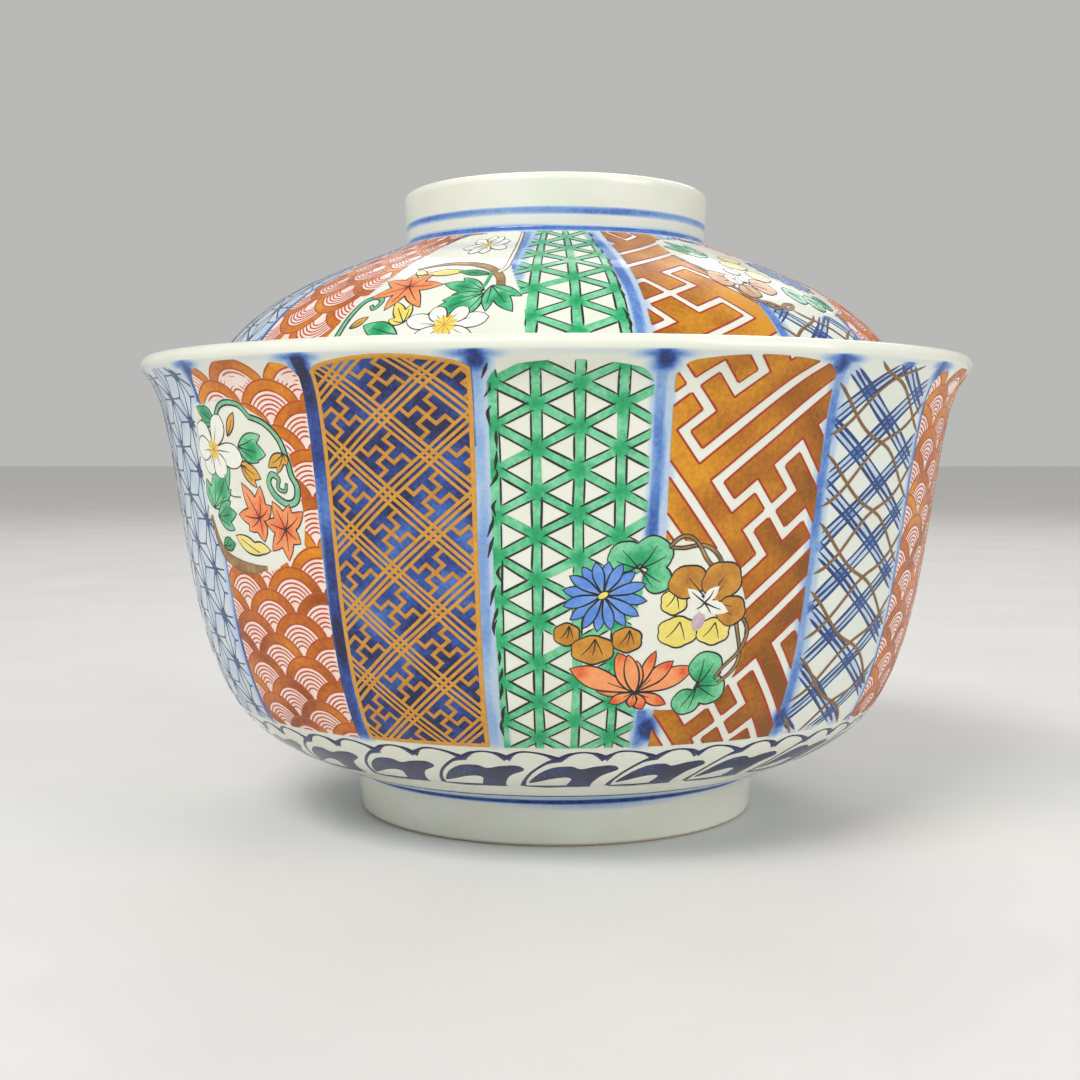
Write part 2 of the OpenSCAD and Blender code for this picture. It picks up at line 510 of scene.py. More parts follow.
def triples(field, through, d, pitch, gap, reach, shake):
    """Lines in threes, gap apart, that cross the whole field along d."""
    normal = np.array([-d[1], d[0]])
    middle = np.array([0, field.length / 2])
    size = field.length + 2 * field.half
    for k in range(-reach, reach + 1):
        for off in (-gap, 0, gap):
            c = through + normal * (k * pitch + off)
            c = c + d * np.dot(middle - c, d)
            yield wobble(spaced([c - d * size, c + d * size], 0.6), shake, 4)


def gold_fret(field):
    """C: gold triple lines on a lattice, with a fret in each cell and a frame."""
    hx, hy, gap, fret = 5.75, 5.0, 0.8, 1.52
    cx, cy = -1.0, 12.2
    span = math.hypot(hx, hy)
    down, up = np.array([hx, hy]) / span, np.array([hx, -hy]) / span
    arm = np.array([(0, 0), (0, 1), (-1, 1), (-1, 2.05)], float)
    arms = []
    for _ in range(4):
        arms.append(arm)
        arm = np.c_[-arm[:, 1], arm[:, 0]]
    inner = lambda p: field.inside(p, 0.35)
    for i in range(-3, 4):
        for j in range(-2, int(field.length / hy) + 3):
            if (i + j) % 2:
                continue
            centre = np.array([cx + i * hx, cy + (j - 2) * hy])
            for a in arms:
                line = spaced(centre + fret * (a[:, :1] * down + a[:, 1:] * up), 0.5)
                field.draw("gold", wobble(line, 0.05), 0.5, inner, tone=0.45, lift=LINE_LIFT)
    # Triple lines run along both diagonals, half a cell away from the cell centres
    for d in (down, up):
        for line in triples(field, np.array([cx + hx, cy]), d, abs(2 * hx * d[1]), gap, 12, 0.05):
            width = 0.44 + rng.uniform(-0.03, 0.03)
            field.draw("gold", line, width, inner, tone=0.6, lift=LINE_LIFT + 0.012)
    field.draw("gold", closed(field.outline(0.3)), 0.62, tone=0.62, lift=LINE_LIFT + 0.02, step=0.3)


def green_lattice(field):
    """D: green bands as triangles, each white triangle outlined in black."""
    if field.body == "bowl":
        col, row, band, x0, y0 = 5.05, 5.52, 1.2, 1.3, -2.5
    else:
        col, row, band, x0, y0 = 6.8, 5.9, 1.4, -1.7, LID_TOP_S - 39.8
    inner_r = row * col / (row + 2 * math.hypot(col, row / 2))
    holes = []
    for i in range(-3, 3):
        for k in range(-2, int(field.length / row) + 2):
            x, far, y = x0 + i * col, x0 + (i + 1) * col, y0 + k * row + (row / 2 if i % 2 else 0)
            for corners in (((x, y), (x, y + row), (far, y + row / 2)),
                            ((far, y + row / 2), (far, y - row / 2), (x, y))):
                corners = np.array(corners)
                middle = corners.mean(axis=0)
                hole = middle + (corners - middle) * (1 - band / 2 / inner_r)
                if np.any(field.within(hole)) or field.within(middle[None])[0]:
                    holes.append(hole + rng.normal(0, 0.05, (3, 2)))

    def tone(p):
        """Deeper green where the bands cross."""
        i = np.round((p[:, 0] - x0) / col)
        y = (p[:, 1] - y0 - np.where(i % 2, row / 2, 0)) / row
        d = np.hypot(p[:, 0] - x0 - i * col, (y - np.round(y)) * row)
        return 0.85 - 0.6 * np.exp(-((d / 1.3) ** 2)) + 0.15 * (mottled(p, 2.3) - 0.5)

    field.fill("green", [spaced(closed(h), 1.2)[:-1] for h in holes], lambda p: ~in_any(p, holes),
               tone=tone, grid=0.9)
    for h in holes:
        for a, b in ((0, 1), (1, 2), (2, 0)):
            if rng.random() < 0.08:
                continue
            d = (h[b] - h[a]) / np.linalg.norm(h[b] - h[a])
            line = [h[a] - d * rng.uniform(-0.1, 0.6), h[b] + d * rng.uniform(-0.1, 0.6)]
            field.draw("black", wobble(spaced(line, 0.5), 0.03), rng.uniform(0.2, 0.32), taper=0.6,
                       lift=FILL_LIFT, crown=THIN_CROWN)
    # Overshooting brush ends down the left edge
    left = field.shift - field.edge(1.0) + 0.5
    for k in range(int(field.length / row * 2)):
        at = np.array([left + rng.uniform(-0.3, 0.5), k * row / 2 + rng.uniform(0, 1.5)])
        mid, end = at + (rng.uniform(-0.5, 0.1), 0.9), at + (rng.uniform(-0.9, 0.3), rng.uniform(1.8, 2.8))
        draw(field.body, "black", field.patch, smooth([at, mid, end], 4), [0.12, 0.5, 0.1],
             lambda q: ~in_any(q, field.covers), lift=FILL_LIFT, crown=THIN_CROWN)


def sayagata(field):
    """E: white interlocking bands on a gold-brown ground with red outlines."""
    band = 1.36
    if field.body == "bowl":
        u, v, origin, paler = np.array([3.1, -2.6]), np.array([-2.4, -3.2]), np.array([4.2, 19.3]), 0
    else:
        u, v, origin = np.array([5.3, -2.4]), np.array([-3.5, -3.4]), np.array([4.8, LID_TOP_S - 25.9])
        # The lid's gold ground is painted paler: a painted sheen of the sky on the upward-facing lid
        paler = 0.15
    half_u, half_v = band / 2 / np.hypot(*u), band / 2 / np.hypot(*v)
    arm = np.array([(0, 0), (0, 1), (-1, 1), (-1, 2), (6, 2)])
    arms = []
    for _ in range(4):
        arms.append(arm)
        arm = np.c_[arm[:, 1], -arm[:, 0]]
    bars = set()
    for i in range(-5, 6):
        for j in range(-5, 6):
            flip = np.array([-1 if (i + j) % 2 else 1, 1])
            for arm in arms:
                ends = (arm * flip + (5 * i, 5 * j)).tolist()
                bars |= {(*min(p, q), *max(p, q)) for p, q in zip(ends[:-1], ends[1:])}
    boxes = []
    for x0, y0, x1, y1 in sorted(bars):
        x0, y0, x1, y1 = x0 - half_u, y0 - half_v, x1 + half_u, y1 + half_v
        corners = np.array([(x0, y0), (x1, y0), (x1, y1), (x0, y1)])
        box = origin + corners[:, :1] * u + corners[:, 1:] * v
        low, high = box.min(0), box.max(0)
        if low[0] < field.half and high[0] > -field.half and low[1] < field.length and high[1] > -2:
            boxes.append(box)

    def tone(p):
        # Lighter at smaller x and smaller y (to the left and up on the bowl): a painted highlight and painted
        # shade across the gold ground
        return 0.5 + 0.5 * (mottled(p, 1.9) - 0.5) - 0.025 * p[:, 0] - 0.006 * (p[:, 1] - 20) + paler

    field.fill("ochre_gold", [spaced(closed(b), 1.6)[:-1] for b in boxes], lambda p: ~in_any(p, boxes),
               tone=tone)
    # A band's outline stops where another band crosses it
    shrunk = [b.mean(axis=0) + (b - b.mean(axis=0)) * 0.976 for b in boxes]
    for b in boxes:
        others = [s for s in shrunk if not in_poly(b.mean(axis=0)[None], s)[0]]
        for k in range(4):
            line = wobble(spaced([b[k], b[(k + 1) % 4]], 0.2), 0.02)
            field.draw("red", line, 0.3, lambda q: ~in_any(q, others), lift=FILL_LIFT, crown=THIN_CROWN)


def scales(field):
    """B: overlapping wave scales, gold bands outside and red arcs on pale pink inside."""
    if field.body == "bowl":
        r, row, col, band, gap, x0, y0 = 5.8, 3.17, 5.3, 1.5, 0.62, -1.2, 1.97
    else:
        r, row, col, band, gap, x0, y0 = 5.9, 3.5, 6.0, 1.4, 0.6, -1.6, 1.2
    centres = []
    for j in range(int(field.length / row) + 3):
        for i in range(-4, 5):
            if (i + j) % 2 == 0:
                jit = rng.normal(0, 0.12, 2)
                centres.append((x0 + i * col + jit[0], y0 + (j - 1) * row + r + jit[1], j))
    centres = np.array(centres)

    def front(p):
        """For each point, the foremost scale that covers it and the distance from its centre."""
        d = np.hypot(p[:, :1] - centres[:, 0], p[:, 1:2] - centres[:, 1])
        d = np.where((d <= r), d, np.inf)
        order = np.where(np.isfinite(d), centres[:, 2] * 100 + centres[:, 0], -np.inf)
        best = np.argmax(order, axis=1)
        return np.where(np.isfinite(order.max(axis=1)), best, -1), d[np.arange(len(p)), best]

    circle = np.radians(np.linspace(0, 360, 37)[:-1])
    ring = np.c_[np.cos(circle), np.sin(circle)]
    near = [c for c in centres if abs(c[0]) <= field.half + r]
    loops = [c[:2] + ring * q for c in near for q in (r, r - band)]

    def gold_here(p):
        k, d = front(p)
        return (k >= 0) & (d > r - band)

    def pale_here(p):
        k, d = front(p)
        return (k >= 0) & (d < r - band)

    def gold_tone(p):
        # The tone falls with y, darker down the bowl's panels away from their arched tops: painted shade (on
        # the lid it darkens toward the knob)
        return 0.62 + 0.7 * (mottled(p, 2.6, field.half) - 0.5) - 0.007 * p[:, 1]

    field.fill("gold_deep", loops, gold_here, tone=gold_tone)
    field.fill("pink", loops, pale_here, lift=0.03, tone=lambda p: 0.3 + 0.5 * mottled(p, 0.9))
    top = np.radians(np.linspace(-200, 20, 60))
    for c in near:
        for m, q in enumerate([r, r - band] + [r - band - gap * k for k in (1, 2, 3, 4, 5)]):
            line = c[:2] + q * np.c_[np.cos(top), np.sin(top)]
            if m > 1:
                line = wobble(line, 0.03)

            def visible(p, c=c, q=q):
                k, _ = front(c[:2] + (p - c[:2]) * ((q - 0.02) / q))
                return (k >= 0) & (centres[k, 2] == c[2]) & (np.abs(centres[k, 0] - c[0]) < 0.01)

            pigment, width = ("rust", 0.28) if m < 2 else ("red_thin", 0.25)
            field.draw(pigment, line, width, visible, lift=FILL_LIFT, crown=THIN_CROWN, taper=0.3)


def star_lattice(field):
    """A: hemp-leaf stars in dark underglaze blue."""
    pitch = 7.0
    col = pitch * math.sqrt(3) / 2
    x0, y0 = 0.7, 4.0

    def node(i, k):
        return np.array([x0 + i * col, y0 + k * pitch + (pitch / 2 if i % 2 else 0)])

    def stroke(a, b, w):
        line = wobble(spaced([a, b], 0.5), 0.06)
        field.draw("cobalt", line, w, tone=0.4, crown=SOAKED, lift=SOAKED)

    rows = int(field.length / pitch) + 2
    for i in range(-3, 3):
        for k in range(-1, rows):
            a, b = node(i, k), node(i, k + 1)
            c = np.array([x0 + (i + 1) * col, (a[1] + b[1]) / 2])
            e = np.array([x0 + (i + 1) * col, (a[1] + b[1]) / 2 - pitch])
            for tri in ((a, b, c), (a, c, e)):
                m = np.mean(tri, axis=0)
                for q in tri:
                    stroke(q, m, [0.5, 0.26, 0.24, 0.34])
                stroke(tri[0], tri[1], [0.5, 0.24, 0.5])
            stroke(a, c, [0.5, 0.24, 0.5])
            for _ in range(8):
                d = unit(rng.uniform(0, 360)) * rng.uniform(0.5, 1.1)
                stroke(a - d, a + d, [0.3, 0.9, 0.3])


def net_check(field):
    """F: blue triple-line lattice under a brown net of wavy lines."""
    hx, hy, gap = 5.8, 4.15, 0.85
    x0, y0 = -4.4, 3.6
    for way in (1, -1):
        d = np.array([hx, way * hy]) / math.hypot(hx, hy)
        for line in triples(field, np.array([x0, y0]), d, abs(2 * hx * d[1]), gap, 14, 0.09):
            width = 0.42 + 0.12 * np.sin(np.arange(len(line)) * 0.6 / 2.3 + rng.uniform(0, 6))
            field.draw("cobalt", line, width, lambda q: field.within(q, 0.5), tone=0.45,
                       crown=SOAKED, lift=SOAKED, taper=1.0)
    nx, ny = 6.6, 4.6
    size = int((field.length + 2 * field.half) / 0.4)
    x = np.arange(-size, size) * 0.4
    for way, phase in ((1, 0.5), (-1, 2.2)):
        for k in range(-10, 16):
            wave = 0.75 * np.sin(x / nx * math.pi + phase)
            line = np.array([-5.7, 6.5 + 2 * ny * k]) + np.c_[x, way * x * ny / nx + wave]
            field.draw("brown", wobble(line, 0.12, 5), 0.5, lambda q: field.within(q, -0.4), tone=0.5,
                       lift=LINE_LIFT + 0.03, taper=1.2)


PATTERNS = {
    "A": star_lattice, "B": scales, "C": gold_fret, "D": green_lattice, "E": sayagata, "F": net_check,
}


# ---------------------------------------------------------------- flowers and leaves
def heading(deg):
    """Direction on a patch, whose y runs down: 0 is to the right and 90 up."""
    return np.array([math.cos(math.radians(deg)), -math.sin(math.radians(deg))])


def petal(base, deg, length, width, tip=1.0, belly=0.5, steps=12):
    """A pointed leaf shape that lies along a heading, widest at belly of its length."""
    t = np.linspace(0, 1, steps)
    w = width / 2 * np.sin(math.pi * t ** (math.log(0.5) / math.log(belly))) ** tip
    d = heading(deg)
    n = np.array([-d[1], d[0]])
    spine = np.asarray(base) + t[:, None] * length * d
    return np.vstack([spine + w[:, None] * n, (spine - w[:, None] * n)[::-1][1:-1]])


def petal_to(base, end, width, tip, belly):
    d = np.subtract(end, base)
    return petal(base, math.degrees(math.atan2(-d[1], d[0])), np.hypot(*d), width, tip, belly)


def tube(path, width):
    """Closed outline of a band along a path; width may change along it."""
    p = smooth(path, 8)
    t = np.gradient(p, axis=0)
    side = np.c_[-t[:, 1], t[:, 0]] / (np.linalg.norm(t, axis=1)[:, None] + 1e-9)
    side *= along_line(width, len(p))[:, None] / 2
    return np.vstack([p + side, (p - side)[::-1]])


def blob(centre, rx, ry, deg=0, lobes=0, depth=0.0, steps=28):
    """An oval, or a round leaf with lobes."""
    a = np.linspace(0, 2 * math.pi, steps + 1)[:-1]
    r = 1 + depth * np.abs(np.sin(a * lobes / 2)) if lobes else np.ones(steps)
    p = np.c_[rx * r * np.cos(a), ry * r * np.sin(a)]
    c, s = math.cos(math.radians(deg)), math.sin(math.radians(deg))
    return np.asarray(centre) + np.c_[p[:, 0] * c + p[:, 1] * s, -p[:, 0] * s + p[:, 1] * c]


class Spray:
    """A spray of flowers on a white ground. Later shapes lie in front of earlier ones."""

    def __init__(self, *ground):
        self.shapes, self.lines, self.ground = [], [], smooth(ground, 4, True)

    def shape(self, pigment, loops, tone=0.5, hot=(), line="black", width=0.2):
        """Each hot is (x, y, radius, tone): a spot of deeper colour."""
        self.shapes.append((pigment, [np.asarray(q, float) for q in loops], tone, hot, line, width))

    def line(self, p, width=0.2, pigment="black"):
        """A free line; it's hidden by the shapes added after it."""
        self.lines.append((len(self.shapes), np.asarray(p, float), width, pigment))

    def veins(self, base, tips, width=0.15, pigment="black"):
        for tip in tips:
            mid = (np.asarray(base) + tip) / 2 + 0.1
            self.line(smooth([base, mid, tip], 4), [width * 1.3, width, width * 0.5], pigment)

    def in_front(self, level):
        return [q for s in self.shapes[level:] for q in s[1]]

    def cover(self):
        return [self.ground, *self.in_front(0)]

    def paint(self, body, patch):
        for k, (pigment, loops, tone, hot, line, width) in enumerate(self.shapes):
            lo, hi = np.min([q.min(0) for q in loops], 0), np.max([q.max(0) for q in loops], 0)
            front = [q for q in self.in_front(k + 1) if np.all(q.min(0) < hi) and np.all(q.max(0) > lo)]

            def shade(p, tone=tone, hot=hot):
                t = tone + 0.35 * (mottled(p, 0.9) - 0.5)
                for x, y, r, value in hot:
                    g = np.exp(-(((p[:, 0] - x) ** 2 + (p[:, 1] - y) ** 2) / r**2))
                    t = t * (1 - g) + value * g
                return t

            fill(body, pigment, patch, [*loops, *front],
                 lambda p, a=loops, b=front: in_any(p, a) & ~in_any(p, b), tone=shade, grid=0.6)
            if not line:
                continue
            for i, q in enumerate(loops):
                rest = front + loops[:i] + loops[i + 1 :]
                ring = wobble(spaced(closed(q), 0.15), 0.02, 1.5)
                draw(body, line, patch, ring, width * (1 + 0.3 * np.sin(np.linspace(0, 9, 12))),
                     lambda p, b=rest: ~in_any(p, b), step=0.12, lift=FILL_LIFT, crown=THIN_CROWN)
        for level, p, width, pigment in self.lines:
            draw(body, pigment, patch, p, width, lambda q, b=self.in_front(level): ~in_any(q, b), step=0.12,
                 lift=FILL_LIFT + 0.01, crown=THIN_CROWN)

    def maple(self, c, tips, width):
        loops = [petal_to(c, tip, width, 0.9, 0.42) for tip in tips]
        self.shape("orange", loops, 0.5, [(*c, 1.4, 0.9)], "black", 0.18)
        self.veins(c, [np.asarray(c) + 0.7 * np.subtract(tip, c) for tip in tips], 0.17)

    def leaf(self, base, tips, width, pigment="green", tone=0.75):
        """The first tip is the main one."""
        loops = [petal_to(base, tip, width * (0.75 if k else 1), 0.85, 0.5) for k, tip in enumerate(tips)]
        mid = np.mean([base, tips[0]], axis=0)
        self.shape(pigment, loops, tone, [(*mid, 1.3, 0.1)], "black", 0.18)
        self.veins(base, [np.asarray(base) + 0.7 * np.subtract(tip, base) for tip in tips])

    def vine(self, path, gap, width, waves):
        """Two twisted strands along a path."""
        p = smooth(path, 10)
        t = np.gradient(p, axis=0)
        n = np.c_[-t[:, 1], t[:, 0]] / (np.linalg.norm(t, axis=1)[:, None] + 1e-9)
        turn = np.linspace(0, waves * 2 * math.pi, len(p))
        for start in (0, math.pi):
            q = p + n * (gap / 2 * np.sin(turn + start))[:, None]
            strand = np.vstack([q + n * width / 2, (q - n * width / 2)[::-1]])
            self.shape("brown", [strand], 0.7, (), "black", 0.13)


def chrysanthemum(spray, c, petals, width):
    for deg, length in petals:
        loop = petal(c, deg, length, width, 0.75, 0.62)
        spray.shape("blue", [loop], 0.5, [(*c, 1.6, 0.95)])
    spray.shape("yellow", [blob(c, 0.75, 0.45, 30)], 0.4, (), "black", 0.18)


def medallion_one():
    """The bowl's spray over panels D and E: y runs down from the panels' tops."""
    s = Spray((-1.5, 24), (3, 23), (9, 24.4), (13, 30), (13.8, 36), (13.2, 41), (10.5, 44.5), (4, 46.0),
              (-1, 45.0), (-4, 42.2), (-3.5, 38), (-2, 33), (-1, 29))
    s.shape("green", [blob((-3.4, 25.0), 2.2, 1.9, 20, 5, 0.05), blob((0.3, 24.6), 2.4, 2.1, -20, 5, 0.05),
                      blob((0.8, 28.0), 1.8, 1.8, 0, 5, 0.05)], 0.85, [(-1.4, 26.2, 2.2, 0.2)])
    s.veins((-1.6, 26.6), [(-3.8, 24.2), (-4.6, 25.6), (0.6, 23.6), (1.8, 25.0), (1.2, 28.4), (0.2, 29.0)],
            0.17)
    for c, rx, ry in (((-10.7, 35.1), 1.6, 1.4), ((-7.3, 37.2), 2.7, 1.8), ((-2.8, 35.9), 1.9, 1.6)):
        s.shape("ochre", [blob(c, rx, ry, 0, 6, 0.1)], 0.5, [(*c, 1.0, 0.8)])
        s.veins((c[0] + 0.3, c[1] - ry * 0.8), [(c[0] + d * rx, c[1] + ry * 0.4) for d in (-0.55, 0.0, 0.5)])
    b = np.array([-1.3, 43.2])
    low = [(174, 5.6, 1.7), (203, 3.8, 1.5), (-22, 5.0, 1.6), (-62, 2.8, 1.7), (-105, 2.2, 1.4)]
    for deg, length, w in low + [(159, 9.6, 3.0), (22, 8.6, 2.8), (40, 6.6, 2.0), (66, 6.2, 1.5)]:
        hot = b + 0.85 * length * heading(deg)
        s.shape("orange", [petal(b, deg, length, w, 0.8, 0.6)], 0.3, [(*hot, 1.2, 0.95)])
        s.line([b, (b + hot) / 2], [0.16, 0.1])
    for deg, length, w in ((90, 4.4, 2.0), (116, 6.2, 2.9), (103, 5.4, 2.0)):
        s.shape("orange", [petal(b, deg, length, w, 0.7, 0.5)], 0.3, [(b[0] - 2.4, b[1] - 5.2, 1.3, 0.9)])
    s.shape("green", [blob((8.6, 40.0), 2.4, 2.1, 0, 5, 0.06), blob((9.6, 43.2), 2.3, 2.1, 0, 5, 0.06),
                      blob((6.3, 44.9), 2.0, 1.8, 0, 5, 0.06)], 0.85, [(8.0, 42.4, 2.1, 0.2)])
    s.veins((7.6, 42.6), [(8.2, 38.8), (9.8, 39.4), (11.0, 42.6), (10.6, 44.4), (5.6, 45.6), (6.8, 46.0)],
            0.17)
    s.vine([(2.2, 23.8), (4.6, 23.2), (7.0, 24.2), (9.4, 26.8)], 1.5, 0.5, 0.9)
    s.vine([(12.2, 32.4), (13.5, 35.6), (13.0, 39.0), (10.4, 42.0)], 1.5, 0.5, 0.9)
    for c, rx, ry in (((3.2, 31.0), 1.7, 1.6), ((4.0, 35.0), 2.6, 1.9), ((9.0, 35.1), 2.3, 1.7)):
        s.shape("yellow", [blob(c, rx, ry, 0, 6, 0.12)], 0.45)
        s.veins((c[0] + 0.2, c[1] - ry * 0.7),
                [(c[0] - rx * 0.6, c[1] + ry * 0.4), (c[0] + rx * 0.4, c[1] + ry * 0.6)])
    s.shape("mauve", [petal((7.4, 32.0), -112, 3.2, 1.7, 0.8, 0.6)], 0.5, (), "mauve", 0.1)
    for c, rx, ry in (((4.9, 28.4), 2.5, 2.0), ((9.7, 28.4), 2.7, 2.4), ((11.4, 32.4), 2.0, 1.9)):
        s.shape("ochre", [blob(c, rx, ry, 15, 5, 0.1)], 0.6, [(*c, 1.0, 0.9)])
        s.veins((7.7, 30.8), [(c[0] + 0.1, c[1] - 0.5), (c[0] + 0.2, c[1] + 0.7)], 0.16)
    arms = (140, 3.0, 1.3), (45, 3.0, 1.4), (-20, 4.0, 1.8), (-80, 1.6, 1.3)
    s.shape("white", [petal((7.2, 31.2), *arm) for arm in arms], line=None)
    s.veins((7.4, 31.2), [(5.6, 29.8), (8.6, 29.6), (9.8, 32.2), (8.4, 32.6), (6.4, 32.0)], 0.2)
    c = (-6.1, 30.0)
    reach = [5.7, 5.6, 5.0, 4.7, 4.4, 4.4, 4.6, 5.0, 5.2, 5.3, 5.2, 5.0, 4.8, 4.7, 5.0, 5.4]
    petals = [(-8 + 22.5 * k, reach[k]) for k in range(16)]
    chrysanthemum(s, c, petals[::2] + petals[1::2], 1.45)
    return s


def five_petals(spray, c, petals, width, eye_r=1.0):
    """A white flower with a yellow eye."""
    for deg, length in petals:
        spray.shape("white", [petal(c, deg, length, width, 0.6, 0.62)], width=0.16)
        spray.line(spaced([c, c + 0.6 * length * heading(deg + 6)], 0.5), [0.06, 0.16, 0.05])
    spray.shape("yellow", [blob(c, eye_r, eye_r, 0, 8, 0.5)], 0.2, line=None)
    for k in range(9):
        spray.line([c, c + unit(k * 40 + 10) * eye_r * 1.5], [0.08, 0.12, 0.1], "ochre")


def medallion_two():
    """The bowl's spray over panel B."""
    s = Spray((-13.8, 6), (-10, 5), (-6.5, 4.6), (-3, 4.5), (0.2, 6.2), (3.2, 7.8), (5.6, 10.4), (6.7, 14),
              (7.4, 17.5), (7.6, 20.5), (6.9, 24.5), (3.5, 26.6), (-0.5, 28), (-8, 28.2), (-12.8, 25),
              (-14.6, 17))
    s.shape("pale_green", [
        tube([(-7.9, 7.0), (-6.6, 5.6), (-4.6, 5.0), (-2.0, 5.4), (-0.2, 7.0)], 0.7),
        tube([(-0.4, 7.0), (2.4, 7.9), (4.7, 10.0), (5.8, 12.8), (6.2, 14.8), (7.0, 16.4), (6.6, 18.2),
              (4.9, 18.7), (2.9, 17.6), (1.9, 16.0), (2.6, 14.8), (3.8, 15.4), (3.6, 16.6), (4.8, 17.0),
              (5.2, 16.0)],
             [0.7, 0.75, 0.85, 0.95, 0.85, 0.8, 0.5, 0.35]),
    ], 0.2)
    s.leaf((-8.6, 7.6), [(-12.6, 5.4), (-10.6, 5.2), (-12.4, 7.6)], 1.9)
    s.leaf((-5.7, 9.6), [(-3.4, 6.4)], 1.5, "ochre", 0.3)
    s.leaf((-3.6, 11.0), [(2.0, 12.2), (1.4, 9.6), (0.4, 13.2)], 2.8, tone=0.85)
    s.leaf((5.2, 12.0), [(2.2, 13.8), (3.8, 14.6), (5.6, 13.6)], 1.6, "ochre", 0.3)
    s.leaf((-3.6, 13.4), [(0.4, 15.4), (-0.6, 16.6), (-1.6, 14.0)], 1.9, "ochre", 0.2)
    s.leaf((-12.3, 19.7), [(-6.3, 13.9), (-6.8, 17.0), (-13.6, 15.6), (-10.0, 14.0)], 3.0, tone=0.8)
    s.leaf((-11.4, 20.8), [(-6.2, 20.3), (-7.2, 22.6), (-7.4, 18.6)], 2.3, tone=0.8)
    s.leaf((-11.0, 25.0), [(-7.6, 24.6), (-8.8, 23.8)], 1.7, tone=0.4)
    branch = (-13.7, 20.9), (-12.7, 23.9), (-10.9, 26.2), (-7.3, 27.5), (-4.0, 27.9), (-0.7, 27.6)
    s.shape("brown", [tube(branch, [0.5, 0.8, 1.3, 1.5, 1.4, 0.4])], 0.7, line="brown")
    s.shape("yellow", [petal((-1.4, 25.8), 157, 6.2, 2.2, 0.8), petal((-3.6, 24.6), -8, 4.2, 1.7, 0.9)], 0.6)
    s.line(smooth([(-1.8, 25.6), (-3.6, 24.8), (-5.8, 23.8)], 5), [0.16, 0.1])
    five_petals(s, (-9.8, 11.4), [(135, 5.2), (58, 5.6), (-12, 7.0), (-132, 4.2), (-66, 4.4), (176, 4.6)],
                3.5)
    s.maple((-0.9, 20.8), [(-4.0, 16.0), (0.0, 16.4), (1.8, 19.0), (-5.6, 20.4), (-3.6, 22.6), (-0.4, 24.0)],
            2.3)
    s.maple((4.1, 22.2), [(2.1, 18.4), (7.6, 19.7), (5.2, 18.8), (0.2, 21.2), (1.0, 25.2), (4.1, 26.4),
                          (6.6, 24.0)], 2.2)
    s.line(smooth([(-8.0, 14.8), (-7.2, 17.6), (-4.6, 18.0)], 5), 0.13)
    s.line(smooth([(-13.9, 22.9), (-14.2, 21.4), (-13.3, 20.9)], 5), 0.2, "green")
    return s


def lid_left():
    """The lid's spray over panels B and C, in x to the viewer's right and y away from the knob."""
    s = Spray((-4.6, 37), (-3.8, 30), (-2.4, 25), (-1.2, 20), (-1.4, 14), (-1.0, 6), (2, 2.2), (10, 1.5),
              (19.5, 1.5), (20.8, 9), (22, 17), (25.2, 26), (26.5, 32), (25, 37.5), (10, 38.5))
    curl = (-3.2, 34.5), (-2.9, 30.5), (-1.9, 27.0), (0.2, 26.2), (1.6, 27.2), (1.0, 28.7), (0.0, 28.0)
    s.shape("pale_green", [tube(curl, [0.9, 0.9, 0.8, 0.5])], 0.15)
    s.leaf((7.6, 34.0), [(0.9, 32.0), (2.6, 35.6)], 3.0)
    s.leaf((-1.6, 32.4), [(0.9, 30.4)], 1.4, "ochre", 0.3)
    s.leaf((7.8, 31.8), [(4.6, 27.5), (7.7, 28.0), (5.0, 31.2)], 1.9, "yellow", 0.5)
    branch = (3.0, 18.3), (7.5, 17.0), (13.2, 17.0), (18.0, 18.6), (21.0, 21.6), (22.0, 25.5)
    s.shape("brown", [tube(branch, [0.5, 0.9, 1.3, 1.5, 1.3])], 0.75, line="brown")
    s.shape("yellow", [petal((6.0, 20.2), 3, 8.0, 2.0, 0.9), petal((6.4, 20.2), 165, 3.2, 1.6)], 0.5)
    s.leaf((19.3, 21.0), [(12.6, 19.8)], 1.7, tone=0.5)
    s.leaf((19.2, 25.4), [(11.5, 23.4), (14.0, 26.4), (14.6, 22.0)], 2.6)
    s.leaf((19.4, 26.2), [(11.2, 30.6), (12.8, 27.6), (16.4, 31.6)], 2.9)
    s.leaf((20.2, 24.3), [(24.5, 30.2), (20.3, 30.0), (25.6, 26.9)], 2.6)
    s.line(smooth([(19.3, 20.6), (19.0, 24.0), (17.8, 27.0)], 6), 0.5, "green")
    five_petals(s, (14.6, 32.4), [(12, 6.6), (170, 6.6), (48, 4.4), (128, 4.2), (-35, 5.6), (-90, 4.4),
                                  (-145, 5.6)], 2.8, 1.3)
    s.maple((4.8, 23.8), [(11.4, 23.6), (9.4, 28.9), (3.2, 29.2), (-1.2, 26.2), (-0.8, 22.0), (3.4, 20.0),
                          (7.6, 20.4)], 2.4)
    five_petals(s, (13.0, 8.0), [(100, 4.8), (150, 6.0), (195, 6.0), (20, 5.6), (-20, 6.2), (-75, 4.6),
                                 (-120, 5.0), (60, 4.8)], 2.6)
    stem = tube([(20.3, 1.8), (21.2, 7), (21.7, 13), (21.6, 18.6), (20.4, 20.4)], 0.8)
    s.shape("white", [stem], line="brown", width=0.16)
    return s


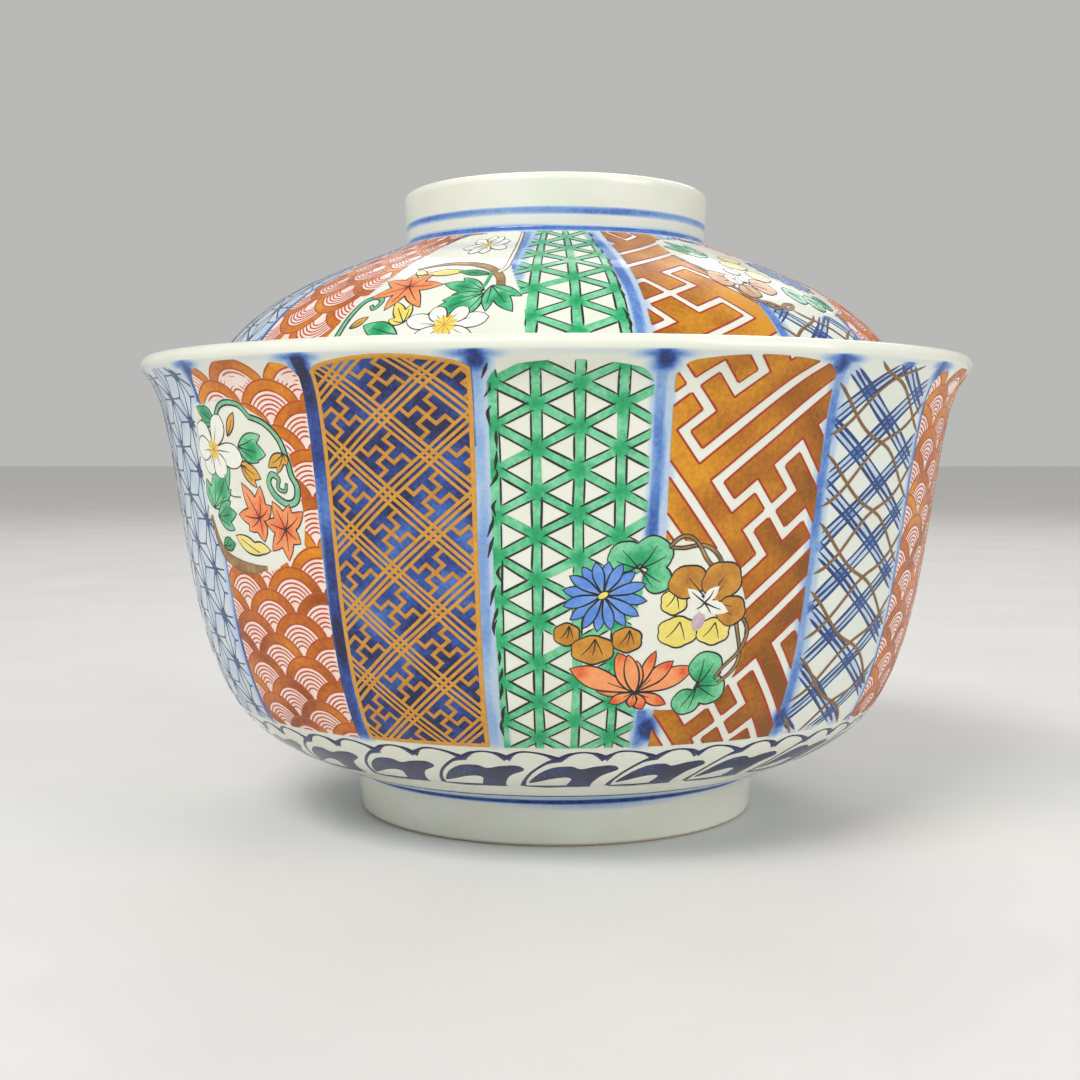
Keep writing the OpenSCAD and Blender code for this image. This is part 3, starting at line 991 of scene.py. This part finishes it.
def lid_right():
    """The lid's spray over panels E and F."""
    s = Spray((-5.5, 6), (0, 3.5), (10, 3), (20, 5), (29, 10), (31, 16), (29, 22), (22, 27.5), (12, 29),
              (6, 27.6), (1, 26.6), (-3.2, 22.5), (-6.6, 16))
    s.leaf((4.8, 11.0), [(-5.0, 7.6), (-1.0, 4.6), (-2.0, 11.0), (5.0, 5.6)], 3.6)
    s.vine([(-7.6, 12.4), (-5.8, 16.5), (-3.4, 21.5), (-0.6, 25.6), (4.0, 27.8), (8.4, 27.0)], 1.0, 0.6, 3.0)
    for c, rx, ry in (((7.2, 15.0), 3.4, 1.7), ((8.9, 19.0), 2.6, 1.8), ((10.8, 12.0), 2.6, 1.6)):
        s.shape("yellow", [blob(c, rx, ry, 0, 6, 0.1)], 0.45)
    s.shape("mauve", [blob((2.6, 18.0), 1.7, 1.3)], 0.5)
    for c, rx, ry in (((-3.2, 20.8), 2.3, 2.3), ((5.4, 22.6), 2.5, 2.1), ((0.6, 24.2), 2.0, 1.6)):
        s.shape("ochre", [blob(c, rx, ry, 0, 5, 0.1)], 0.7, [(*c, 1.1, 0.95)])
        s.veins((0.2, 21.3), [(c[0], c[1] - 0.8), (c[0] + 0.2, c[1] + 0.8)], 0.17)
    s.shape("white", [blob((-0.2, 20.9), 1.6, 1.5, 0, 6, 0.12)], 0.5)
    s.veins((-0.2, 20.9), [(-1.2, 19.9), (0.9, 20.2), (0.0, 22.2)], 0.25, "brown")
    s.shape("orange", [blob((4.6, 9.2), 0.9, 0.7)], 0.8)
    for c, r in (((12.6, 24.2), 2.3), ((16.6, 25.8), 2.1), ((20.5, 25.4), 1.9)):
        s.shape("green", [blob(c, r, r * 0.9, 0, 5, 0.08)], 0.3, [(*c, 1.0, 0.0)])
        s.veins((c[0] - 0.8, c[1] - 1.0), [(c[0] + 0.4, c[1] + 1.1), (c[0] + 1.1, c[1] + 0.2)])
    chrysanthemum(s, (21.0, 17.0), [
        (90, 5.6), (38, 6.4), (-14, 6.6), (-66, 6.0), (-118, 5.6), (-170, 6.4), (142, 6.0),
        (64, 6.0), (12, 6.8), (-40, 6.2), (-92, 5.6), (-144, 6.0), (168, 6.4), (116, 5.8),
    ], 2.2)
    return s


def spray_patch(body, mid):
    """On the bowl y runs down from the panels' tops, and on the lid from the knob."""
    return Patch(BOWL, mid, TOP_S) if body == "bowl" else Patch(LID, mid, 0.0, 1, 1)


# The sprays in front, and the same again behind
SPRAYS = [
    ("bowl", BORDERS[3], medallion_one()),
    ("bowl", (BORDERS[0] + BORDERS[1]) / 2, medallion_two()),
    ("bowl", BORDERS[11], medallion_one()),
    ("bowl", (BORDERS[8] + BORDERS[9]) / 2, medallion_two()),
    ("lid", BORDERS[1], lid_left()),
    ("lid", BORDERS[4], lid_right()),
    ("lid", BORDERS[9], lid_left()),
    ("lid", BORDERS[12], lid_right()),
]
COVERS = {"bowl": [], "lid": []}
for body, mid, spray in SPRAYS:
    COVERS[body] += [spray_patch(body, mid).wrap(q) for q in spray.cover()]


# ---------------------------------------------------------------- petal band above the foot
def petal_band():
    """Leaning petals under scallops, in units that repeat round the bowl, and a ring below them."""
    units = 24
    top = TOP_S - 54.0
    leaf = smooth([
        (-5.4, 6.8), (-3.6, 3.8), (-1.1, 2.0), (1.7, 1.7), (3.3, 2.4), (5.6, 1.8), (8.3, 1.6), (9.3, 2.7),
        (6.9, 4.3), (5.7, 6.6), (5.1, 8.2), (1.4, 8.2), (1.7, 6.3), (1.9, 5.3), (0.8, 4.8), (-1.4, 5.3),
        (-3.6, 6.3),
    ], 4, True)
    for n in range(units):
        patch = Patch(BOWL, n * 360 / units + 0.8, top)
        m = 1 + rng.normal(0, 0.012, 2)

        def put(p, w):
            draw("bowl", "navy", patch, smooth(p) * m, w, step=0.25, lift=SOAKED, crown=SOAKED)

        put([(-0.2, 0.2), (1.4, -0.9), (3.4, -1.3), (5.4, -0.9), (6.9, 0.1)], [1.1, 0.4, 0.3, 0.4, 1.3])
        put([(6.7, 0.1), (8.3, -1.1), (10.0, -1.4), (12.6, -0.9), (15.0, 0.3)], [1.3, 0.4, 0.3, 0.5, 1.2])
        put([(15.2, 0.1), (12.9, 1.0), (10.6, 3.2), (9.2, 5.7), (8.5, 8.2)], [1.1, 0.5, 0.45, 0.5, 0.8])
        put([(-6.4, 8.3), (-2.0, 8.5), (1.6, 8.3), (5.6, 8.4)], [0.5, 1.0, 0.9, 0.5])
        fill("bowl", "navy", patch, [leaf * m], lambda p, s=leaf * m: in_poly(p, s), lift=0.02,
             tone=lambda p: 0.4 + 0.5 * (mottled(p, 1.6) - 0.5), grid=1.1)
    line = Patch(BOWL, 0, BOWL.at_height(8.7))
    around = np.c_[np.linspace(0, 360 / DEG_PER_MM, 480), np.zeros(480)]
    ribbon("bowl", "navy", line, wobble(around, 0.03, 20), 0.7, tone=0.3, lift=0.01, crown=SOAKED)


# ---------------------------------------------------------------- soft cobalt and painted shade in the glaze
def ramp(x, a, b):
    t = np.clip((x - a) / (b - a), 0, 1)
    return t * t * (3 - 2 * t)


def soft(d, half, blur):
    return 1 - ramp(np.abs(d), half, half + blur)


# Depth of the core, its half width, blur and shift; depth of the halo, its half width and its shift
STRIPES = {
    "BC": (0.82, 0.75, 0.7, 0.25, 0.45, 1.4, 0.2), "CD": (0.34, 0.4, 1.0, 0.1, 0.2, 1.3, 0.5),
    "DE": (0.52, 0.4, 0.8, -0.1, 0.2, 1.1, 0.3), "EF": (0.46, 0.5, 0.7, 0.4, 0.2, 1.1, 0.6),
    "FB": (0.52, 0.6, 0.45, 0.0, 0.15, 1.0, 0.0), "BD": (0.5, 0.6, 0.5, 0.2, 0.2, 1.2, 0.2),
    "DA": (0.45, 0.6, 0.6, 0.0, 0.18, 1.1, 0.0), "AB": (0.7, 0.5, 0.6, -0.2, 0.22, 1.1, -0.3),
}
DABBED_BELOW = {"DE": 0.8, "EF": 0.4, "DA": 0.2}


# How far past the panels' ends the stripes fade, at the foot or rim and at the lip or knob
FADES = {"bowl": (-1.0, 0.8, 0.8, 2.0), "lid": (-0.6, 0.6, 0.0, 1.6)}
LAST_DAB_Y = 48.9


def stripe_depth(body, k, q, y):
    """The stripe on border k: a dark core in a pale halo, q mm to the right of the border."""
    pair = KINDS[k - 1] + KINDS[k]
    core, half, blur, move, halo, wide, shift = STRIPES[pair]
    q = q + 0.22 * np.sin(y / 7 + k) + 0.1 * np.sin(y / 2.6 + 2 * k)
    tone = 1 + 0.18 * np.sin(y / 5.5 + 1.3 * k) + 0.1 * np.sin(y / 1.9 + k)
    v = np.maximum(core * tone * soft(q - move, half, blur), halo * soft(q - shift, wide, 1.1))
    return q, v * (1.5 if body == "lid" and pair == "CD" else 1)


def dab_depth(k, q, y, v):
    """The stripe v with the brush's dark dabs on the bowl, smeared under the lip."""
    pair = KINDS[k - 1] + KINDS[k]
    cloud = 0.8 + 0.4 * mottled(np.c_[q, y], 0.8, k)
    dab = np.exp(-(((q - 0.4 * math.sin(k)) / 1.6) ** 2) - ((y + 0.3) / 2.1) ** 2)
    smear = 0.7 * np.exp(-((q / 3.2) ** 2) - ((y + 0.9) / 0.7) ** 2)
    fade = 1 - ramp(-y, 1.4, 2.6)
    v = np.maximum(v, np.minimum(0.88, np.maximum(dab, smear) * cloud) * fade)
    if pair in DABBED_BELOW:
        low = np.exp(-(((q - DABBED_BELOW[pair]) / 1.4) ** 2) - ((y - LAST_DAB_Y) / 1.9) ** 2)
        v = np.maximum(v, np.minimum(0.86, 1.2 * low * cloud))
    return v


def wash_depth(kind, k, p):
    """The wash under a panel: deep under C, faint under A, and where the check's lines cross under F."""
    if kind == "C":
        drift = np.sin(p[:, 1] / 6.0 + 0.8 * np.sin(p[:, 0] / 3))
        return np.clip(0.84 + 0.36 * (mottled(p, 1.7, k) - 0.5) + 0.10 * drift, 0.5, 1.0)
    if kind == "A":
        return 0.11 + 0.12 * (mottled(p, 1.5, k) - 0.3)
    u, w = [((p[:, 0] + 4.4) / 11.6 + way * (p[:, 1] - 3.6) / 8.3) % 1 for way in (1, -1)]
    u, w = soft(np.minimum(u, 1 - u), 0.08, 0.09), soft(np.minimum(w, 1 - w), 0.08, 0.09)
    return 0.04 + (0.14 * np.maximum(u, w) + 0.36 * u * w) * (0.7 + 0.6 * mottled(p, 1.4, k))


def cobalt_depth(body, deg, s):
    """How much cobalt there is under the glaze, from 0 to 1."""
    start, end = (TOP_S, BOTTOM_S) if body == "bowl" else (LID_TOP_S, LID_BOTTOM_S)
    low, full, last, gone = FADES[body]
    reach = ramp(s, end + low, end + full) * (1 - ramp(s, start + last, start + gone))
    r = SKINS[body].radius(s)
    depth = np.zeros(len(deg))
    for k, border in enumerate(BORDERS[:-1]):
        d = ((deg - border + 180) % 360 - 180) * math.pi / 180 * r
        near = np.abs(d) < 6
        q, v = stripe_depth(body, k, d[near], start - s[near])
        field = FIELDS[body][k]
        v *= reach[near] * ~in_any(field.patch.flat(np.c_[deg[near], s[near]]), field.covers)
        if body == "bowl":
            v = dab_depth(k, q, start - s[near], v)
        depth[near] = np.maximum(depth[near], v)
    for k, kind in enumerate(KINDS):
        field = FIELDS[body][k]
        if kind not in "CAF":
            continue
        p = field.patch.flat(np.c_[deg, s])
        across, up = np.abs(p[:, 0]) < field.half + 1, (p[:, 1] > -1) & (p[:, 1] < field.length + 1)
        near = np.flatnonzero(across & up)
        p = p[near]
        v = np.where(field.inside(p, 0.15 if kind == "C" else -0.2), wash_depth(kind, k, p), 0)
        depth[near] = np.maximum(depth[near], v)
    return depth


FIELDS = {
    body: [Field(body, kind, BORDERS[k], BORDERS[k + 1]) for k, kind in enumerate(KINDS)] for body in SKINS
}


# Rings drawn round the knob and the foot, and bands of painted shade under the lip and above the foot:
# height, half width, blur and depth
KNOB_LINE, DOME_LINE = (92.1, 0.25, 0.4, 0.5), (89.45, 0.2, 0.5, 0.62)
FOOT_LINE, FOOT_SHADE = (7.0, 0.3, 0.5, 0.86), (8.2, 0.5, 0.6, 0.2)
LIP_SHADE = (69.0, 0.2, 0.6, 0.06)


def ring_depth(z, ring):
    at, half, blur, depth = ring
    return depth * soft(z - at, half, blur)


def glaze(body, outline, skin_line, start, turns=900):
    """The whole surface of one body. The painted stretch begins at outline point number start."""
    rows = len(outline)
    stretch = slice(start, start + len(skin_line))
    t = np.gradient(outline, axis=0)
    n = np.c_[t[:, 1], -t[:, 0]] / (np.linalg.norm(t, axis=1)[:, None] + 1e-9)
    limit = min(abs(c) for corner in (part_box(body)[0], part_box(body)[1]) for c in corner[:2]) / MM - 0.003
    deg = np.linspace(0, 360, turns + 1)[:-1]
    a = np.radians(deg)

    def turned(r, z):
        return np.stack([r * np.sin(a), -r * np.cos(a), np.broadcast_to(z, (rows, turns))], axis=2)

    points = turned(np.minimum(outline[:, :1], limit), outline[:, 1:])
    normals = turned(n[:, :1], n[:, 1:])
    i, j = np.meshgrid(np.arange(rows - 1) * turns, np.arange(turns), indexing="ij")
    after = (j + 1) % turns
    quads = np.stack([i + j, i + after, i + turns + after, i + turns + j], axis=2)
    first, last = np.arange(turns), (rows - 1) * turns + np.arange(turns)
    caps = [np.c_[np.zeros(turns - 2, int) + ring[0], ring[1:-1], ring[2:]] for ring in (last, first[::-1])]

    depth = np.zeros((rows, turns))
    every = np.broadcast_to(deg, (len(skin_line), turns)).ravel()
    painted = cobalt_depth(body, every, np.repeat(travel(skin_line), turns))
    depth[stretch] = painted.reshape(len(skin_line), turns)
    z = outline[:, 1:] + 0.06 * np.sin(a * 3 + 1) + 0.03 * np.sin(a * 7)
    if body == "lid":
        # Only the outside of the knob and the first few rows of the dome
        outside = (outline[:, :1] > KNOB_R - KNOB_ROUND) & (np.arange(rows)[:, None] < start + 12)
        knob = ring_depth(z, KNOB_LINE) * (0.9 + 0.15 * np.sin(a * 5))
        depth = np.maximum(depth, np.where(outside, np.maximum(knob, ring_depth(z, DOME_LINE)), 0))
        bare = np.zeros((rows, turns))
    else:
        # Painted shade: a soft grey-blue band just under the lip, laid into the cobalt tint
        lip = ring_depth(outline[stretch, 1:], LIP_SHADE) * (1 + 0.3 * np.sin(a * 9))
        depth[stretch] = np.maximum(depth[stretch], lip)
        # The pale grey-blue band above the foot line is painted shade where the belly turns under toward the
        # foot, laid into the cobalt tint
        foot = np.maximum(ring_depth(z, FOOT_LINE), ring_depth(z, FOOT_SHADE))
        near_foot = (outline[:, :1] > FOOT_R - 1.1) & (outline[:, 1:] < FOOT_Z + 5.1)
        depth = np.maximum(depth, np.where(near_foot, foot, 0))
        bare = np.zeros((rows, turns)) + soft(outline[:, 1:], 0.25, 0.35)
    piece = new_piece(
        f"{body}_glaze", body, points.reshape(-1, 3), normals.reshape(-1, 3), quads.reshape(-1, 4),
        np.vstack(caps), {"cobalt": depth.ravel(), "bare": bare.ravel()}, MATERIALS["glaze"],
    )
    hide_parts(body)


# ---------------------------------------------------------------- materials
def linear(rgb):
    """A linear colour from an 8-bit display colour."""
    c = np.array(rgb) / 255
    return (*np.where(c <= 0.04045, c / 12.92, ((c + 0.055) / 1.055) ** 2.4).tolist(), 1.0)


class Nodes:
    """A material's node tree, with short ways to add what the glaze and the pigments need."""

    def __init__(self, name):
        self.mat = bpy.data.materials.new(name)
        self.mat.use_nodes = True
        self.tree = self.mat.node_tree
        self.bsdf = self.tree.nodes["Principled BSDF"]
        self.coord = self.tree.nodes.new("ShaderNodeTexCoord").outputs["Object"]

    def link(self, a, b):
        self.tree.links.new(a, b)

    def noise(self, per_mm, detail=2.0, rough=0.5):
        """Noise of about one blotch per 1/per_mm millimetres."""
        node = self.tree.nodes.new("ShaderNodeTexNoise")
        node.inputs["Scale"].default_value = per_mm / MM
        node.inputs["Detail"].default_value = detail
        node.inputs["Roughness"].default_value = rough
        self.link(self.coord, node.inputs["Vector"])
        return node.outputs["Fac"]

    def attribute(self, name):
        node = self.tree.nodes.new("ShaderNodeAttribute")
        node.attribute_name = name
        return node.outputs["Fac"]

    def math(self, op, *values):
        node = self.tree.nodes.new("ShaderNodeMath")
        node.operation = op
        for socket, value in zip(node.inputs, values):
            if isinstance(value, (int, float)):
                socket.default_value = value
            else:
                self.link(value, socket)
        return node.outputs[0]

    def scaled(self, value, low, high):
        node = self.tree.nodes.new("ShaderNodeMapRange")
        node.inputs["From Min"].default_value = 0.3
        node.inputs["From Max"].default_value = 0.7
        node.inputs["To Min"].default_value = low
        node.inputs["To Max"].default_value = high
        self.link(value, node.inputs["Value"])
        return node.outputs["Result"]

    def ramp(self, value, stops):
        node = self.tree.nodes.new("ShaderNodeValToRGB")
        line = node.color_ramp.elements
        while len(line) < len(stops):
            line.new(0.5)
        for element, (at, rgb) in zip(line, stops):
            element.position = at
            element.color = linear(rgb)
        self.link(value, node.inputs["Fac"])
        return node.outputs["Color"]

    def mix(self, factor, a, b):
        node = self.tree.nodes.new("ShaderNodeMix")
        node.data_type = "RGBA"
        self.link(factor, node.inputs[0])
        for socket, value in ((node.inputs[6], a), (node.inputs[7], b)):
            if isinstance(value, tuple):
                socket.default_value = value
            else:
                self.link(value, socket)
        return node.outputs[2]

    def bump(self, height, distance, strength=1.0):
        node = self.tree.nodes.new("ShaderNodeBump")
        node.inputs["Distance"].default_value = distance * MM
        node.inputs["Strength"].default_value = strength
        self.link(height, node.inputs["Height"])
        self.link(node.outputs["Normal"], self.bsdf.inputs["Normal"])


def glaze_material():
    m = Nodes("porcelain_glaze")
    cloud, fine = m.noise(0.12, 3), m.noise(1.6, 3, 0.6)
    white = m.mix(m.scaled(cloud, 0, 1), linear((229, 231, 214)), linear((236, 238, 226)))
    # The cobalt attribute also holds the bands of painted shade under the lip and above the foot, which tint
    # the glaze grey-blue
    wash = m.math("MULTIPLY", m.attribute("cobalt"), m.scaled(fine, 0.86, 1.12))
    wash = m.math("MULTIPLY", wash, m.scaled(m.noise(0.35, 2), 0.92, 1.08))
    blue = m.ramp(wash, [
        (0.0, (233, 236, 222)), (0.12, (202, 216, 226)), (0.3, (146, 178, 218)), (0.5, (88, 130, 200)),
        (0.72, (40, 80, 158)), (0.9, (26, 44, 108)), (1.0, (18, 24, 66)),
    ])
    tint = m.mix(m.math("MULTIPLY", m.attribute("cobalt"), 12.0), white, blue)
    clay = m.ramp(m.noise(2.5, 4), [(0.3, (196, 180, 156)), (0.7, (222, 210, 190))])
    m.link(m.mix(m.attribute("bare"), tint, clay), m.bsdf.inputs["Base Color"])
    gloss = m.scaled(m.noise(0.5, 3), 0.07, 0.13)
    m.link(m.math("ADD", gloss, m.math("MULTIPLY", m.attribute("bare"), 0.6)), m.bsdf.inputs["Roughness"])
    m.bsdf.inputs["IOR"].default_value = 1.5
    m.bump(m.noise(0.22, 2), 0.05, 0.5)
    return m.mat


def pigment(name, dark, mid, light, rough, metal=0.0, grain=1.2):
    m = Nodes(name)
    tone = m.math("ADD", m.attribute("tone"), m.scaled(m.noise(grain, 3, 0.6), -0.16, 0.16))
    m.link(m.ramp(tone, [(0.05, dark), (0.5, mid), (0.95, light)]), m.bsdf.inputs["Base Color"])
    m.link(m.scaled(m.noise(grain * 1.5, 2), rough - 0.05, rough + 0.07), m.bsdf.inputs["Roughness"])
    m.bsdf.inputs["Metallic"].default_value = metal
    m.bump(m.noise(3.0, 2), 0.01, 0.4)
    return m.mat


MATERIALS = {
    "glaze": glaze_material(),
    "cobalt": pigment("cobalt_line", (12, 34, 84), (24, 62, 124), (78, 118, 182), 0.14),
    "navy": pigment("cobalt_dark", (10, 16, 48), (20, 34, 84), (52, 78, 142), 0.12),
    "gold": pigment("gold_line", (172, 112, 34), (210, 148, 58), (230, 176, 78), 0.34, 0.35),
    "gold_deep": pigment("gold_band", (150, 70, 6), (206, 112, 8), (238, 158, 22), 0.34, 0.2),
    "ochre_gold": pigment("gold_ground", (136, 78, 10), (184, 112, 18), (224, 154, 30), 0.36, 0.2, 1.6),
    "red": pigment("red_line", (140, 32, 4), (174, 46, 8), (198, 70, 20), 0.3),
    "red_thin": pigment("red_arc", (168, 56, 30), (196, 78, 48), (218, 112, 80), 0.3),
    "rust": pigment("rust_line", (150, 56, 10), (182, 76, 16), (206, 104, 34), 0.3),
    "pink": pigment("pink_wash", (244, 200, 180), (249, 224, 210), (250, 238, 228), 0.16),
    "green": pigment("green_enamel", (10, 136, 80), (38, 170, 108), (132, 212, 164), 0.12),
    "pale_green": pigment("pale_green_enamel", (96, 178, 132), (150, 208, 170), (206, 230, 204), 0.12),
    "black": pigment("black_line", (14, 14, 16), (30, 28, 28), (60, 56, 52), 0.3),
    "brown": pigment("brown_line", (88, 62, 30), (126, 92, 50), (180, 140, 88), 0.3),
    "orange": pigment("orange_enamel", (250, 170, 112), (246, 148, 86), (228, 84, 42), 0.16),
    "yellow": pigment("yellow_enamel", (232, 206, 84), (240, 222, 116), (246, 234, 160), 0.14),
    "ochre": pigment("ochre_enamel", (226, 168, 62), (206, 144, 46), (168, 106, 34), 0.18),
    "blue": pigment("blue_enamel", (70, 118, 206), (92, 142, 220), (130, 172, 232), 0.14),
    "mauve": pigment("mauve_enamel", (176, 146, 166), (200, 172, 186), (222, 200, 206), 0.16),
    "white": pigment("white_enamel", (236, 236, 222), (242, 243, 232), (248, 248, 240), 0.12),
}

# ---------------------------------------------------------------- build
foot_line, bowl_line = spaced(FOOT, 1.2)[:-1], spaced(join(WALL_OUT), 0.55)
lip_line = spaced(arc(LIP_C, LIP_ROUND, FLARE - 90, FLARE + 90, 14), 0.4)[1:-1]
bowl_outline = np.vstack([foot_line, bowl_line, lip_line, spaced(WALL_IN[::3], 1.6)])
glaze("bowl", bowl_outline, bowl_line, len(foot_line))
knob_line, lid_line = spaced(KNOB, 0.35)[:-1], spaced(join(DOME_OUT), 0.5)
rim_line = spaced(arc(RIM_C, RIM_ROUND, 90 - RIM_SLOPE, -90 - RIM_SLOPE, 12), 0.6)[1:-1]
lid_outline = np.vstack([knob_line, lid_line, rim_line, spaced(DOME_IN[::3], 1.6)])
glaze("lid", lid_outline, lid_line, len(knob_line))

for body, fields in FIELDS.items():
    for field in fields:
        PATTERNS[field.kind](field)
for body, mid, spray in SPRAYS:
    spray.paint(body, spray_patch(body, mid))
petal_band()
for paint in Paint.made.values():
    paint.build()

# ---------------------------------------------------------------- stage, light and camera
bpy.ops.mesh.primitive_plane_add(size=12, location=(0, 0, 0))
floor = bpy.context.object
floor.name = "floor"
stone = Nodes("pale_floor")
stone.link(stone.ramp(stone.noise(0.02, 3), [(0.3, (226, 225, 222)), (0.7, (232, 231, 228))]),
           stone.bsdf.inputs["Base Color"])
stone.link(stone.scaled(stone.noise(0.05, 2), 0.55, 0.65), stone.bsdf.inputs["Roughness"])
floor.data.materials.append(stone.mat)

world = bpy.data.worlds.new("studio")
world.use_nodes = True
sky = world.node_tree.nodes["Background"].inputs
sky["Color"].default_value = linear((232, 232, 230))
sky["Strength"].default_value = 0.6
bpy.context.scene.world = world


def lamp(name, at, aim, size, watts):
    data = bpy.data.lights.new(name, "AREA")
    data.shape, data.size, data.size_y = "RECTANGLE", size[0], size[1]
    data.energy = watts
    lamp_object = bpy.data.objects.new(name, data)
    bpy.context.scene.collection.objects.link(lamp_object)
    lamp_object.location = at
    lamp_object.rotation_euler = (Vector(aim) - Vector(at)).to_track_quat("-Z", "Y").to_euler()


lamp("key", (-0.35, -0.55, 0.75), (0, 0, 0.05), (0.5, 0.35), 5.5)
lamp("fill", (0.8, -0.5, 0.45), (0, 0, 0.05), (0.6, 0.6), 3.0)
lamp("back", (0.1, 0.8, 0.7), (0, 0, 0.06), (0.8, 0.4), 2.0)

EYE = Vector((0, -0.2502, 0.0568))
PITCH, YAW = 0.0569, 0.010
camera_data = bpy.data.cameras.new("camera")
camera_data.sensor_width = 36
camera_data.lens = 51.29
camera_data.clip_start = 0.01
camera = bpy.data.objects.new("camera", camera_data)
bpy.context.scene.collection.objects.link(camera)
camera.location = EYE
look = Vector((-math.sin(YAW) * math.cos(PITCH), math.cos(YAW) * math.cos(PITCH), -math.sin(PITCH)))
camera.rotation_euler = look.to_track_quat("-Z", "Y").to_euler()
bpy.context.scene.camera = camera
bpy.context.scene.view_settings.view_transform = "Standard"
